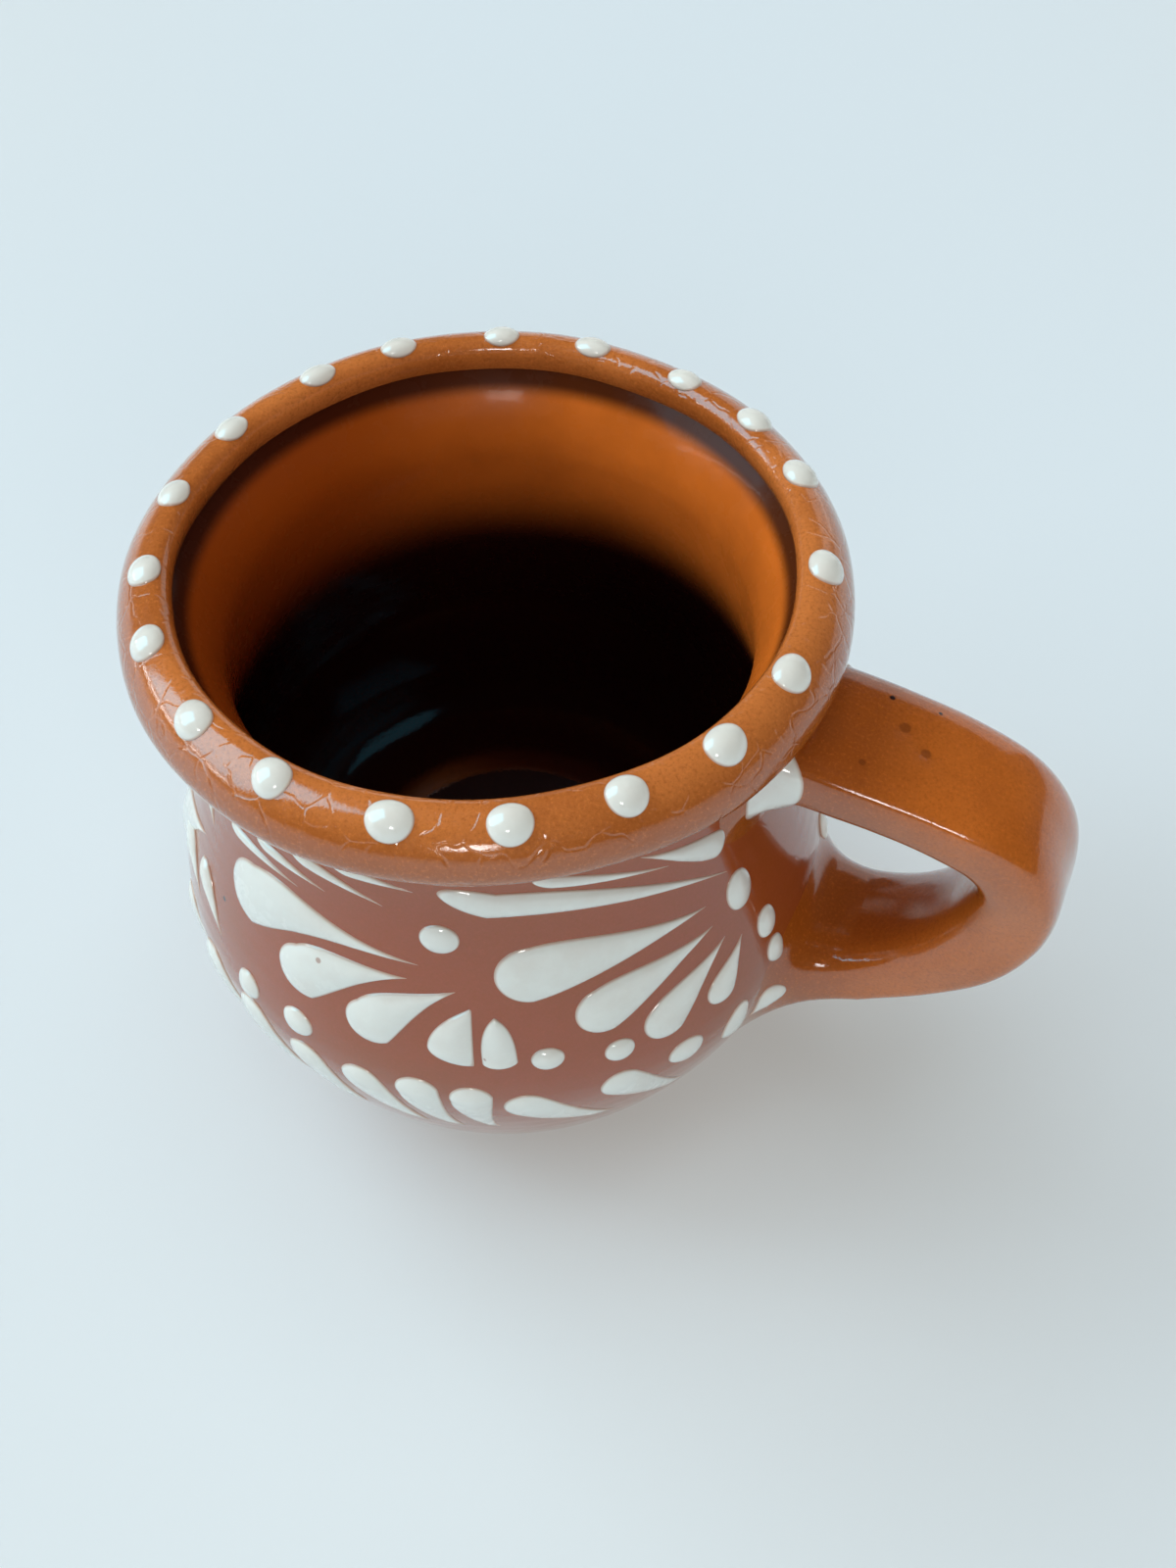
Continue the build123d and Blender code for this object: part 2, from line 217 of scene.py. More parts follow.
class Wall:
    """The turned body's outlines as (radius, height) from the sizes, and points on its outside."""

    def __init__(self, sizes):
        rise = sizes.neck_height - sizes.belly_height
        lean, edge = sizes.lip_lean, sizes.lip_seat / 2
        seat_in = Vector((math.cos(lean), math.sin(lean)))
        seat_up = Vector((-math.sin(lean), math.cos(lean)))
        middle = Vector((sizes.lip_radius, sizes.lip_height))
        neck_to_lip = sizes.lip_height - sizes.neck_height
        outer_seat, inner_seat = middle - seat_up * edge, middle + seat_up * edge
        below_outer = outer_seat - seat_in * (LIP_PULL_OUTSIDE * neck_to_lip)
        below_inner = inner_seat - seat_in * (LIP_PULL_INSIDE * neck_to_lip)
        r, z, n, m = sizes.belly_radius, sizes.belly_height, sizes.neck_radius, sizes.neck_height
        foot_pull, belly_pull, neck_pull = FOOT_PULL * z, BELLY_PULL_UP * rise, NECK_PULL * rise
        foot = (sizes.foot_radius, 0)
        foot_side = (foot[0] + foot_pull * math.cos(sizes.foot_flare), foot_pull * math.sin(sizes.foot_flare))
        above_neck = (n, m + LIP_PULL_OUTSIDE * neck_to_lip)
        self.outer = np.vstack([
            bezier([foot, foot_side, (r, z - BELLY_PULL_DOWN * z), (r, z)], OUTER_POINTS)[:-1],
            bezier([(r, z), (r, z + belly_pull), (n, m - neck_pull), (n, m)], OUTER_POINTS)[:-1],
            bezier([(n, m), above_neck, below_outer, outer_seat], LIP_OUTER_POINTS),
        ])
        r, n = r - sizes.wall, n - sizes.wall
        base = sizes.floor_thickness
        above_neck = (n, m + LIP_PULL_INSIDE * neck_to_lip)
        floor_edge = (sizes.floor_radius, base)
        floor_side = sizes.floor_radius + FLOOR_PULL * (r - sizes.floor_radius)
        self.inner = np.vstack([
            bezier([inner_seat, below_inner, above_neck, (n, m)], LIP_INNER_POINTS)[:-1],
            bezier([(n, m), (n, m - neck_pull), (r, z + belly_pull), (r, z)], INNER_POINTS)[:-1],
            bezier([(r, z), (r, z - FLOOR_PULL * (z - base)), (floor_side, base), floor_edge], INNER_POINTS),
        ])
        steps = np.hypot(*np.diff(self.outer, axis=0).T)
        self.along = np.concatenate([[0], np.cumsum(steps)])
        slope = np.gradient(self.outer, axis=0)
        self.tilt = np.arctan2(-slope[:, 0], slope[:, 1])

    def radius(self, height):
        """Radius of the outside at a height."""
        return np.interp(height, self.outer[:, 1], self.outer[:, 0])

    def rise(self, height):
        """Way along the outside from the foot up to a height."""
        return np.interp(height, self.outer[:, 1], self.along)

    def point(self, azimuth, rise):
        """Points on the outside and the directions out of it."""
        radius, height = (np.interp(rise, self.along, self.outer[:, axis]) for axis in (0, 1))
        tilt = np.interp(rise, self.along, self.tilt)
        radius = radius - unevenness(azimuth, height)
        out = np.stack([np.cos(tilt) * np.cos(azimuth), np.cos(tilt) * np.sin(azimuth), np.sin(tilt)], -1)
        return np.stack([radius * np.cos(azimuth), radius * np.sin(azimuth), height], -1), out


def unevenness(azimuth, height):
    """How far the hand-turned wall stands inside its true outline."""
    wave = 0.5 + 0.22 * np.cos(2 * azimuth + 0.8) + 0.16 * np.cos(3 * azimuth - height * 60 + 2.1)
    ring = 0.06 * np.cos(height * 2100 + azimuth)
    return WALL_UNEVENNESS * (wave + ring)


# Meshes


class Shells:
    """Closed skins gathered into one mesh."""

    def __init__(self):
        self.points, self.faces, self.slots, self.thickness = [], [], [], []

    def add(self, rings, start, end, thickness=None, slots=None):
        """Closes rings of points into one skin, with a point at each end."""
        rows, columns = rings.shape[:2]
        first = len(self.points)
        self.points.extend([start, *rings.reshape(-1, 3), end])
        level = np.zeros(rows * columns) if thickness is None else np.asarray(thickness).ravel()
        self.thickness.extend([level[0], *level, level[-1]])
        index = first + 1 + np.arange(rows * columns).reshape(rows, columns)
        following = np.roll(index, -1, axis=1)
        last = first + 1 + rows * columns
        self.faces.extend((first, b, a) for a, b in zip(index[0], following[0]))
        for row in range(rows - 1):
            self.faces.extend(zip(index[row], following[row], following[row + 1], index[row + 1]))
        self.faces.extend((last, a, b) for a, b in zip(index[-1], following[-1]))
        bands = [0] * (rows + 1) if slots is None else slots
        self.slots.extend(np.repeat(bands, columns).tolist())

    def piece(self, name, materials):
        """The object made of the skins, smooth, with its faces turned outwards."""
        mesh = bpy.data.meshes.new(name)
        points = [tuple(map(float, point)) for point in self.points]
        mesh.from_pydata(points, [], [tuple(map(int, face)) for face in self.faces])
        for material in materials:
            mesh.materials.append(material)
        mesh.polygons.foreach_set("material_index", self.slots)
        level = mesh.attributes.new("thickness", "FLOAT", "POINT")
        level.data.foreach_set("value", np.array(self.thickness, np.float32))
        work = bmesh.new()
        work.from_mesh(mesh)
        bmesh.ops.recalc_face_normals(work, faces=work.faces)
        work.to_mesh(mesh)
        work.free()
        mesh.polygons.foreach_set("use_smooth", [True] * len(mesh.polygons))
        made = bpy.data.objects.new(name, mesh)
        bpy.context.scene.collection.objects.link(made)
        return made


def dress(piece, slot, *nodes):
    """Sets a piece on the mug's one body, in place of its CAD nodes."""
    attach(piece, "root")
    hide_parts(*nodes)


def turned(outline, count):
    """Rings of points round the upright axis, one for each point of an outline."""
    azimuth = np.arange(count) * ROUND / count
    radius, height = outline[:, 0][:, None], outline[:, 1][:, None]
    radius = radius - unevenness(azimuth[None, :], height) * (radius > TRUE_MIDDLE)
    return np.stack([radius * np.cos(azimuth), radius * np.sin(azimuth), height + 0 * azimuth], -1)


# Lip

# Waves round the lip as (count, phase, size in mm), of its radius and of its height
LIP_RADIUS_WAVES = ((3, 0.6, 0.14), (5, 2.0, 0.1), (11, 0, 0.06))
LIP_HEIGHT_WAVES = ((2, 1.0, 0.12), (7, 0.3, 0.07))
# Steps round the lip and round its oval
LIP_STEPS, LIP_SIDES = 320, 44


def waves_round(azimuth, kinds):
    """Sum of waves round the axis."""
    return sum(size * MM * np.cos(count * azimuth + phase) for count, phase, size in kinds)


class Lip:
    """The rolled lip: a leaning oval carried round the axis, slightly wavy as a hand rolls it."""

    def __init__(self, sizes):
        self.radius, self.height = sizes.lip_radius, sizes.lip_height
        self.half_thickness, self.half_width = sizes.lip_thickness / 2, sizes.lip_width / 2
        self.lean = sizes.lip_lean

    def point(self, azimuth, place):
        """Points on the lip and the directions out of it; place runs from the outer side up over the top."""
        side, top = self.half_thickness * np.cos(place), self.half_width * np.sin(place)
        cos, sin = math.cos(self.lean), math.sin(self.lean)
        radius = self.radius + waves_round(azimuth, LIP_RADIUS_WAVES) + side * cos - top * sin
        height = self.height + waves_round(azimuth, LIP_HEIGHT_WAVES) + side * sin + top * cos
        across, up = self.half_width * np.cos(place), self.half_thickness * np.sin(place)
        size = np.hypot(across, up)
        level, upright = (across * cos - up * sin) / size, (across * sin + up * cos) / size
        point = np.stack([radius * np.cos(azimuth), radius * np.sin(azimuth), height], -1)
        return point, np.stack([level * np.cos(azimuth), level * np.sin(azimuth), upright + 0 * azimuth], -1)

    def stretch(self, place):
        """Length of lip for each radian of place."""
        return math.hypot(self.half_thickness * math.sin(place), self.half_width * math.cos(place))


# Handle

# Steps along the strap's middle line, round its section, along each root and along the part between them
LINE_STEPS, SECTION_STEPS, ROOT_STEPS, STRAP_STEPS = 480, 120, 14, 230
# Points from which the section's even steps are measured off
SECTION_POINTS = 2001
# The bend is eased over one part in this many of the line, to each side
BEND_EASE = 24
# Fullness of the section: the firm and the rounded edge of its outer half, and its inner half
FIRM_EDGE, ROUND_EDGE, INNER_HALF = 4.4, 3.0, 3.2
# Width of the far edge, for 1 of the near one
FAR_EDGE = 1.1
# Shares by which the smoothed clay is wider on a root's inner and outer side
UPPER_FLARE, LOWER_FLARE = (0.8, 0), (0.4, 1.2)
# The smoothed clay ends this far under the wall's surface, and this far below the top of the neck
ROOT_SUNK, NECK_MARGIN = 0.12 * MM, 1 * MM
# Unevenness of the pulled strap: size, waves for each metre, level, and steps of fading at the roots
PULL_UNEVENNESS, PULL_WAVES, PULL_LEVEL, PULL_FADE = 0.35 * MM, 95, 0.35, 20


def arm_radii(run, climb, first_slope, break_slope):
    """Radii of the two arcs that lead a handle arm from its root to the upright middle of the bend."""
    across = math.sin(break_slope) - math.sin(first_slope)
    up = math.cos(first_slope) - math.cos(break_slope)
    rest = 1 - math.sin(break_slope)
    spread = across * math.cos(break_slope) - rest * up
    return (run * math.cos(break_slope) - rest * climb) / spread, (across * climb - up * run) / spread


def strap_line(sizes, count):
    """Middle line of the strap in the upright plane, from the neck round to the belly, with its headings."""
    upper = np.array([sizes.neck_radius - sizes.root_depth, sizes.upper_root_height])
    lower = np.array([sizes.belly_radius - sizes.root_depth, sizes.lower_root_height])
    bend_height = lower[1] + sizes.bend_share * (upper[1] - lower[1])
    upper_arm, upper_bend = arm_radii(
        sizes.handle_reach - upper[0], upper[1] - bend_height, sizes.upper_fall, sizes.upper_break
    )
    lower_arm, lower_bend = arm_radii(
        sizes.handle_reach - lower[0], bend_height - lower[1], -sizes.lower_fall, sizes.lower_break
    )
    quarter = math.pi / 2
    arcs = (
        (upper_arm, sizes.upper_break - sizes.upper_fall),
        (upper_bend, quarter - sizes.upper_break),
        (lower_bend, quarter - sizes.lower_break),
        (lower_arm, sizes.lower_break + sizes.lower_fall),
    )
    lengths = np.array([radius * turn for radius, turn in arcs])
    ends = np.cumsum(lengths)
    way = np.linspace(0, ends[-1], count)
    bend = np.zeros(count)
    for (radius, turn), end, size in zip(arcs, ends, lengths):
        bend += np.clip((way - (end - size)) / radius, 0, turn)
    reach = count // BEND_EASE
    blur = np.hanning(2 * reach + 1)
    padded = np.pad(bend, reach, mode="reflect", reflect_type="odd")
    heading = -sizes.upper_fall - np.convolve(padded, blur / blur.sum(), mode="valid")
    step = way[1] - way[0]
    mid = (heading[1:] + heading[:-1]) / 2
    moves = step * np.stack([np.cos(mid), np.sin(mid)], -1)
    line = upper + np.vstack([[0, 0], np.cumsum(moves, axis=0)])
    line += (lower - line[-1]) * (way / way[-1])[:, None]
    return line, heading


def strap_outline(half_width, half_thickness, count):
    """The strap's section: flat outside with one firm and one rounded edge, rounder inside."""
    turn = np.linspace(0, ROUND, SECTION_POINTS)
    outer_half = np.where(np.cos(turn) > 0, ROUND_EDGE, FIRM_EDGE)
    fullness = 2 / np.where(np.sin(turn) > 0, outer_half, INNER_HALF)
    x = half_width * np.sign(np.cos(turn)) * np.abs(np.cos(turn)) ** fullness
    y = half_thickness * np.sign(np.sin(turn)) * np.abs(np.sin(turn)) ** fullness
    way = np.concatenate([[0], np.cumsum(np.hypot(np.diff(x), np.diff(y)))])
    even = np.linspace(0, way[-1], count, endpoint=False)
    return np.interp(even, way, x), np.interp(even, way, y)


# Share of the taper that is reached at shares of the way from the neck to the belly
STRAP_NARROWING = ((0, 0.3, 0.62, 0.75, 0.9, 1), (0, 0.25, 0.95, 0.85, 0.1, -0.2))

# Fullness of the strap's outer and inner halves at shares of the way from the neck to the belly
STRAP_OUTSIDE = ((0, 0.55, 0.72, 0.82, 0.88, 0.93, 1), (1, 1, 0.84, 0.9, 1.02, 1.22, 1.35))
STRAP_INSIDE = ((0, 0.28, 0.42, 0.56, 0.66, 0.8, 0.92, 1), (1, 1, 1.25, 1.5, 1.45, 1.2, 1.05, 1))

# Steps to each side over which these are smoothed
NARROWING_REACH, FULLNESS_REACH = 30, 15


def smoothed(values, reach):
    """A running mean over steps to each side."""
    count = 2 * reach + 1
    return np.convolve(np.pad(values, reach, mode="edge"), np.ones(count) / count, mode="valid")


def crossing(distance, levels):
    """For each column, the first row at which a distance to the wall has come down to that column's level."""
    found = []
    for column, level in zip(distance.T, levels):
        row = int(np.argmax(column < level))
        a, b = column[row - 1], column[row]
        found.append(row - 1 + (a - level) / (a - b))
    return np.array(found)


def rows_at(points, places):
    """Points of each column at fractional rows."""
    rows = np.arange(points.shape[0])
    made = np.empty((len(places), 3))
    for column, place in enumerate(places):
        for axis in range(3):
            made[column, axis] = np.interp(place, rows, points[:, column, axis])
    return made


def root_rings(points, sides, wall, fillet, count):
    """Rows of clay smoothed from the wall up to the strap, by a width for each column, and where they end."""
    radius = np.hypot(points[..., 0], points[..., 1])
    distance = radius - wall.radius(points[..., 2])
    leave, meet = crossing(distance, fillet), crossing(distance, 0 * fillet)
    on_strap, corner = rows_at(points, leave), rows_at(points, meet)
    on_wall = corner + sides * fillet[:, None]
    azimuth = np.arctan2(on_wall[:, 1], on_wall[:, 0])
    top = wall.outer[-1, 1] - NECK_MARGIN
    flat, out = wall.point(azimuth, wall.rise(np.minimum(on_wall[:, 2], top)))
    on_wall = flat - out * ROOT_SUNK
    t = np.linspace(0, 1, count, endpoint=False)[:, None, None]
    return (1 - t) ** 2 * on_wall + 2 * t * (1 - t) * corner + t * t * on_strap, leave


def handle_rings(sizes, wall):
    """Rings of points along the whole handle, from the neck's wall to the belly's."""
    line, heading = strap_line(sizes, LINE_STEPS)
    across, thick = strap_outline(sizes.handle_width / 2, sizes.handle_thickness / 2, SECTION_STEPS)
    way = np.linspace(0, 1, len(line))
    shares, reached = STRAP_NARROWING
    widths = np.interp(way, shares, 1 - sizes.handle_taper * np.array(reached))
    narrowing = smoothed(widths, NARROWING_REACH)
    outer = smoothed(np.interp(way, *STRAP_OUTSIDE), FULLNESS_REACH)
    inner = smoothed(np.interp(way, *STRAP_INSIDE), FULLNESS_REACH)
    depth = thick * np.where(thick > 0, outer[:, None], inner[:, None])
    up = np.stack([-np.sin(heading), np.cos(heading)], -1)
    points = np.empty((len(line), len(across), 3))
    points[..., 0] = line[:, :1] + up[:, :1] * depth
    points[..., 1] = np.where(across > 0, FAR_EDGE, 1) * across * narrowing[:, None]
    points[..., 2] = line[:, 1:] + up[:, 1:] * depth
    squash = np.stack([across / sizes.handle_width**2, thick / sizes.handle_thickness**2], -1)
    squash /= np.abs(squash).max(axis=1)[:, None]
    half = len(line) // 2

    def sides(row):
        return np.stack([squash[:, 1] * up[row, 0], squash[:, 0], squash[:, 1] * up[row, 1]], -1)

    def flared(fillet, flare):
        inner_side = np.clip(0.5 - 2 * thick / sizes.handle_thickness, 0, 1)
        return fillet * (1 + flare[0] * inner_side + flare[1] * (1 - inner_side))

    upper_width = flared(sizes.upper_fillet, UPPER_FLARE)
    lower_width = flared(sizes.lower_fillet, LOWER_FLARE)
    upper, leave_upper = root_rings(points[half::-1], sides(0), wall, upper_width, ROOT_STEPS)
    lower, leave_lower = root_rings(points[half:], sides(-1), wall, lower_width, ROOT_STEPS)
    places = np.linspace(half - leave_upper, half + leave_lower, STRAP_STEPS)
    strap = np.array([rows_at(points, row) for row in places])
    return np.concatenate([upper, strap, lower[::-1]])


def outwards(rings):
    """Directions from the middle of each ring to its points."""
    out = rings - rings.mean(axis=1, keepdims=True)
    return out / np.linalg.norm(out, axis=2, keepdims=True)


def hand_pulled(rings):
    """Moves points a little, as a strap pulled by hand is never quite even."""
    out, rows = outwards(rings), np.arange(len(rings))
    fade = np.clip(np.minimum(rows, rows[::-1]) / PULL_FADE, 0, 1)
    for row, weight in enumerate(fade):
        for column in range(rings.shape[1]):
            wave = noise.noise(Vector(rings[row, column]) * PULL_WAVES) - PULL_LEVEL
            rings[row, column] += out[row, column] * (PULL_UNEVENNESS * weight * wave)
    return rings


# Dimples in the strap's top: place, width and depth in mm
DIMPLES = (
    ((53.2, 2.4, 77.9), 1.5, 0.3), ((56.5, -0.1, 77.2), 1.3, 0.25), ((49.9, -5.2, 78.5), 0.8, 0.2),
    ((60.5, 3.5, 75.5), 1.1, 0.15), ((64, -4, 73.6), 1.2, 0.15),
)


def dimpled(rings):
    """Presses small dimples into the strap."""
    out = outwards(rings)
    for place, width, depth in DIMPLES:
        distance = np.linalg.norm(rings - np.array(place) * MM, axis=2) / (width * MM)
        rings -= out * (depth * MM * np.exp(-(distance**2)))[..., None]
    return rings


# Slip

# Steps over a stroke's round head and its tail, over a drop, and across a dome
HEAD_STEPS, TAIL_STEPS, DROP_STEPS, DOME_STEPS = 17, 22, 27, 15
# Powers by which the slip rises from a round end, from a tail's tip and from its sides
END_RISE, TIP_RISE, SIDE_RISE = 1.4, 0.5, 0.7
# Share of a stroke's length over which it keeps the width of its head
FULL_SHARE = 0.25
# Most height for each half width
STEEPNESS = 0.62
# How far the edge and the underside of the slip lie in the clay, in mm
EDGE_SUNK, UNDER_SUNK = 0.06, 0.25
# Reach of the smoothed clay over the wall
ROOT_REACH = 9 * MM
# How far a stroke set once more may be off: degrees round, mm up for a stroke and a drop, share of its width
OFF_AZIMUTH, OFF_STROKE, OFF_DROP, OFF_WIDTH = 2, 1.2, 1.5, 0.2

Stroke = namedtuple("Stroke", "head tail radius bow lean cap waist thin", defaults=(0, 0, 1, 0.6, 0.15))
Drop = namedtuple("Drop", "place half_width half_height turn", defaults=(0,))

# Places are (azimuth from the spray's focus in degrees, height in mm); widths are in mm
LONG_PETALS = (
    Stroke((-40.5, 59.2), (-1.2, 60.4), 5.2, 3, 0, 0.9, 0.34, 0.08),
    Stroke((-27.3, 52.8), (-6.4, 58.3), 4.3, 1.7),
    Stroke((-13.8, 49.5), (1.9, 57.4), 3.8, 1.4),
    Stroke((-0.4, 47.6), (-0.4, 54.6), 3.0, 0, 1, 1, 0.7, 0.75),
    Stroke((7.7, 45.4), (7.2, 53.2), 2.3, 0, 0, 0.35, 0.72, 1.1),
    Stroke((-45, 67), (-26, 66), 0.9, 0.3, 0, 2.5),
    Stroke((-36.5, 69.4), (-20.5, 67.7), 0.9, 0.3, 0, 2.5),
    Stroke((-27, 71.8), (-8.6, 68.6), 1.0, 0.4, 0, 2.5),
    Stroke((-18, 73.6), (-3, 72.6), 0.9, 0.3, 0, 2.5),
    Drop((-1.5, 65.5), 2.5, 2.4),
    Drop((-28.5, 43), 2.5, 2.5),
    Drop((-40.5, 42.4), 2.2, 2.6),
)
FAN_PETALS = (
    Stroke((-40, 59.7), (-4.7, 59.7), 4.6, 1.5),
    Stroke((-28.2, 51.7), (-4.4, 56.3), 3.9, 1),
    Stroke((-17.6, 46), (-2.6, 53.5), 3.4, 0.7),
    Stroke((-6.3, 45.2), (0.8, 51.6), 2.5, 0.2),
    Stroke((-46, 71.5), (4.2, 60.8), 2.2, 3.3, 0, 3),
    Stroke((-35, 74.6), (-8.7, 69), 1.0, 0.5, 0, 2.5),
    Stroke((-1.8, 68.2), (-20, 74.6), 2.1, 0.2, 0, 0.6),
    Drop((1.7, 58.2), 2.4, 3.3),
    Drop((-38.5, 45.5), 2.2, 2.0),
    Drop((-26.5, 44), 2.1, 2.0),
)
# The spray left of the photographed side has slanting strokes where the others have short petals
LEFT_PETALS = LONG_PETALS[:3] + LONG_PETALS[5:] + (
    Stroke((3.1, 51.5), (11.5, 44), 1.6, 0.4, 0, 1.5),
    Stroke((-7.4, 51.5), (1.5, 44), 1.7, 0.4, 0, 1.5),
    Stroke((-0.5, 67), (5.2, 60), 1.2, 0.2, 0, 1.5),
)
# Sprays: node, azimuth of the focus, strokes, and whether they are set once more by hand
SPRAYS = (
    ("handle_spray", -21.5, FAN_PETALS, False),
    ("front_spray", -75.5, LONG_PETALS, False),
    ("left_spray", -135.5, LEFT_PETALS, False),
    ("back_spray", -195, FAN_PETALS, True),
    ("far_spray", -254, LONG_PETALS, True),
)
# Commas near the photographed side, as (azimuth, height) of head and tail, then one every 13 degrees
NEAR_COMMAS = (
    Stroke((-48, 36.5), (-33, 24.5), 3.0),
    Stroke((-64, 35.5), (-47, 24.5), 3.1),
    Stroke((-73, 37.5), (-68.5, 25.5), 3.0, -1),
    Stroke((-82, 38), (-74.5, 25), 3.1, -1),
    Stroke((-92, 37), (-81, 25), 3.0),
    Stroke((-103, 36), (-93, 24.5), 3.0),
)
FURTHER_COMMAS, FURTHER_COMMA = range(-116, -320, -13), Stroke((0, 36.5), (10.5, 24.5), 3.0)
# Strokes set once more: how far they are off, and the seeds of that, kept apart for each spray and the commas
HAND_OFF, SPRAY_SEEDS, COMMA_SEED = 0.6, 40, 300
# Drops beside the handle's roots, alike on both sides
BESIDE_ROOTS = (
    Drop((-15, 49), 2.0, 2.7),
    Drop((-24.9, 35.6), 2.1, 3.9, -20),
    Drop((-36, 37.6), 2.8, 2.5),
)
# Slip on the clay round the lower root, alike on both sides
ON_LOWER_ROOT = (
    Drop((-14, 43), 1.8, 2.4),
    Stroke((-16.5, 35), (-20, 30.3), 1.9),
)
# Patch on the upper root's side: (sideways place, height) and half sizes in mm, as seen from SIDE_LOOK
# degrees beside the handle and SIDE_START mm out
ON_UPPER_ROOT = Drop((27.6, 73.8), 2.9, 6.8, -12)
SIDE_LOOK, SIDE_START = 55, 60
# The handle's two sides
SIDES = (1, -1)
# A lip drop's spread in size, its breadth across the lip with the spread of that, and what it loses for each
# degree that it sits higher on the lip than DROP_TURN
DROP_SPREAD, DROP_BREADTH, DROP_BREADTH_SPREAD, DROP_NARROWING, DROP_TURN = 0.12, 0.97, 0.1, 0.012, 45
# Drops on the lip: azimuth, and place on the lip's oval from its outer side up
RIM_DROPS = (
    (110, 62), (92, 64), (72, 64), (55, 49), (39, 46), (16, 43), (-9, 47), (-27, 44), (-45, 40), (-63, 34),
    (-81, 34), (-101, 45), (-119, 42), (-138, 40), (-154, 50), (-173, 58), (-192, 62), (-213, 64), (-230, 63),
)


def stroke_grid(stroke, length):
    """Stations along a stroke: way from the head's middle, sideways shift, half width and height share."""
    swing = np.linspace(0, math.pi / 2, HEAD_STEPS)[1:-1]
    round_end = np.sin(swing)
    head_way = -stroke.cap * np.cos(swing) * stroke.radius
    head = np.stack([head_way, 0 * swing, stroke.radius * round_end, round_end**END_RISE], -1)
    p = np.linspace(0, 1, TAIL_STEPS)[:-1]
    early, late = 3 * p * (1 - p) ** 2, 3 * p * p * (1 - p)
    way = length * (FULL_SHARE * early + stroke.waist * late + p**3)
    width = stroke.radius * ((1 - p) ** 3 + early + stroke.thin * late)
    tail = np.stack([way, stroke.bow * (early + late), width, (width / stroke.radius) ** TIP_RISE], -1)
    grid = np.vstack([head, tail])
    grid[:, 1] += stroke.lean * (grid[:, 2] - stroke.radius)
    return grid, np.array([[-stroke.cap * stroke.radius, grid[0, 1]], [length, grid[-1, 1]]])


def drop_grid(half_width, half_height):
    """Stations across an oval drop, as for a stroke."""
    swing = np.linspace(0, math.pi, DROP_STEPS)[1:-1]
    round_end = np.sin(swing)
    way, width = -half_width * np.cos(swing), half_height * round_end
    grid = np.stack([way, 0 * swing, width, round_end**END_RISE], -1)
    return grid, np.array([[-half_width, 0], [half_width, 0]])


def domed(grid, height):
    """A slip dome over stations: flat places (along, across) and heights of its rings."""
    over = np.sin(np.linspace(-1, 1, DOME_STEPS) * math.pi / 2)
    under = np.array([0.6, 0, -0.6])
    sides = np.concatenate([over, under])
    dome = np.concatenate([(1 - over**2) ** SIDE_RISE, 0 * under])
    width = grid[:, 2][:, None]
    flat = np.stack([grid[:, :1] + 0 * sides, grid[:, 1:2] + width * sides], -1)
    crest = np.minimum(height * grid[:, 3][:, None], STEEPNESS * width)
    level = crest * dome - EDGE_SUNK
    level[:, len(over):] = -UNDER_SUNK
    return flat, level


def trail(shells, stations, height, full_height, laid):
    """Adds one slip dome, which laid(flat places, heights) sets on the clay."""
    grid, ends = stations
    flat, level = domed(grid, height)
    start, end = laid(ends, np.full(2, -EDGE_SUNK))
    shells.add(laid(flat, level), start, end, np.clip(level / full_height, 0, 1))


def trail_on_wall(shells, stations, origin, tilt, wall, handle, sizes):
    """Adds one dome on the wall, and over the handle's roots where they stand higher."""
    azimuth, place = math.radians(origin[0]), origin[1] * MM
    rise, radius = float(wall.rise(place)), float(wall.radius(place))
    cos, sin = math.cos(tilt), math.sin(tilt)

    def laid(flat, level):
        x, y = flat[..., 0] * cos - flat[..., 1] * sin, flat[..., 0] * sin + flat[..., 1] * cos
        point, out = wall.point(azimuth + x * MM / radius, rise + y * MM)
        if handle is not None:
            over_roots(point, out, handle)
        return point + out * (level * MM)[..., None]

    height = sizes.slip_height / MM
    trail(shells, stations, height, height, laid)


def over_roots(point, out, handle):
    """Lifts points of the wall on to the clay smoothed round the roots."""
    flat_points, flat_out = point.reshape(-1, 3), out.reshape(-1, 3)
    for index in range(len(flat_points)):
        level = Vector(flat_out[index])
        start = Vector(flat_points[index]) + level * ROOT_REACH
        hit, normal, _, _ = handle.ray_cast(start, -level, ROOT_REACH)
        if hit is not None:
            flat_points[index] = hit
            flat_out[index] = (level + normal).normalized()


def petal(shells, stroke, focus, wall, handle, sizes):
    """One trailed stroke or drop of a spray."""
    if isinstance(stroke, Drop):
        stations = drop_grid(stroke.half_width, stroke.half_height)
        (azimuth, height), tilt = stroke.place, math.radians(stroke.turn)
    else:
        azimuth, height = stroke.head
        radius = float(wall.radius(height * MM))
        across = math.radians(stroke.tail[0] - azimuth) * radius / MM
        up = float(wall.rise(stroke.tail[1] * MM) - wall.rise(height * MM)) / MM
        stations, tilt = stroke_grid(stroke, math.hypot(across, up)), math.atan2(up, across)
    trail_on_wall(shells, stations, (focus + azimuth, height), tilt, wall, handle, sizes)


def nudged(stroke, amount, seed):
    """The same stroke set by hand once more: a little off in place and width."""
    def off(step):
        return amount * noise.noise(Vector((seed * 7.3 + 0.37, step * 3.1 + 0.61, 0.5)))

    wider = 1 + OFF_WIDTH * off(2)
    if isinstance(stroke, Drop):
        place = (stroke.place[0] + OFF_AZIMUTH * off(0), stroke.place[1] + OFF_DROP * off(1))
        return stroke._replace(place=place, half_width=stroke.half_width * wider)
    head = (stroke.head[0] + OFF_AZIMUTH * off(0), stroke.head[1] + OFF_STROKE * off(1))
    return stroke._replace(head=head, radius=stroke.radius * wider)


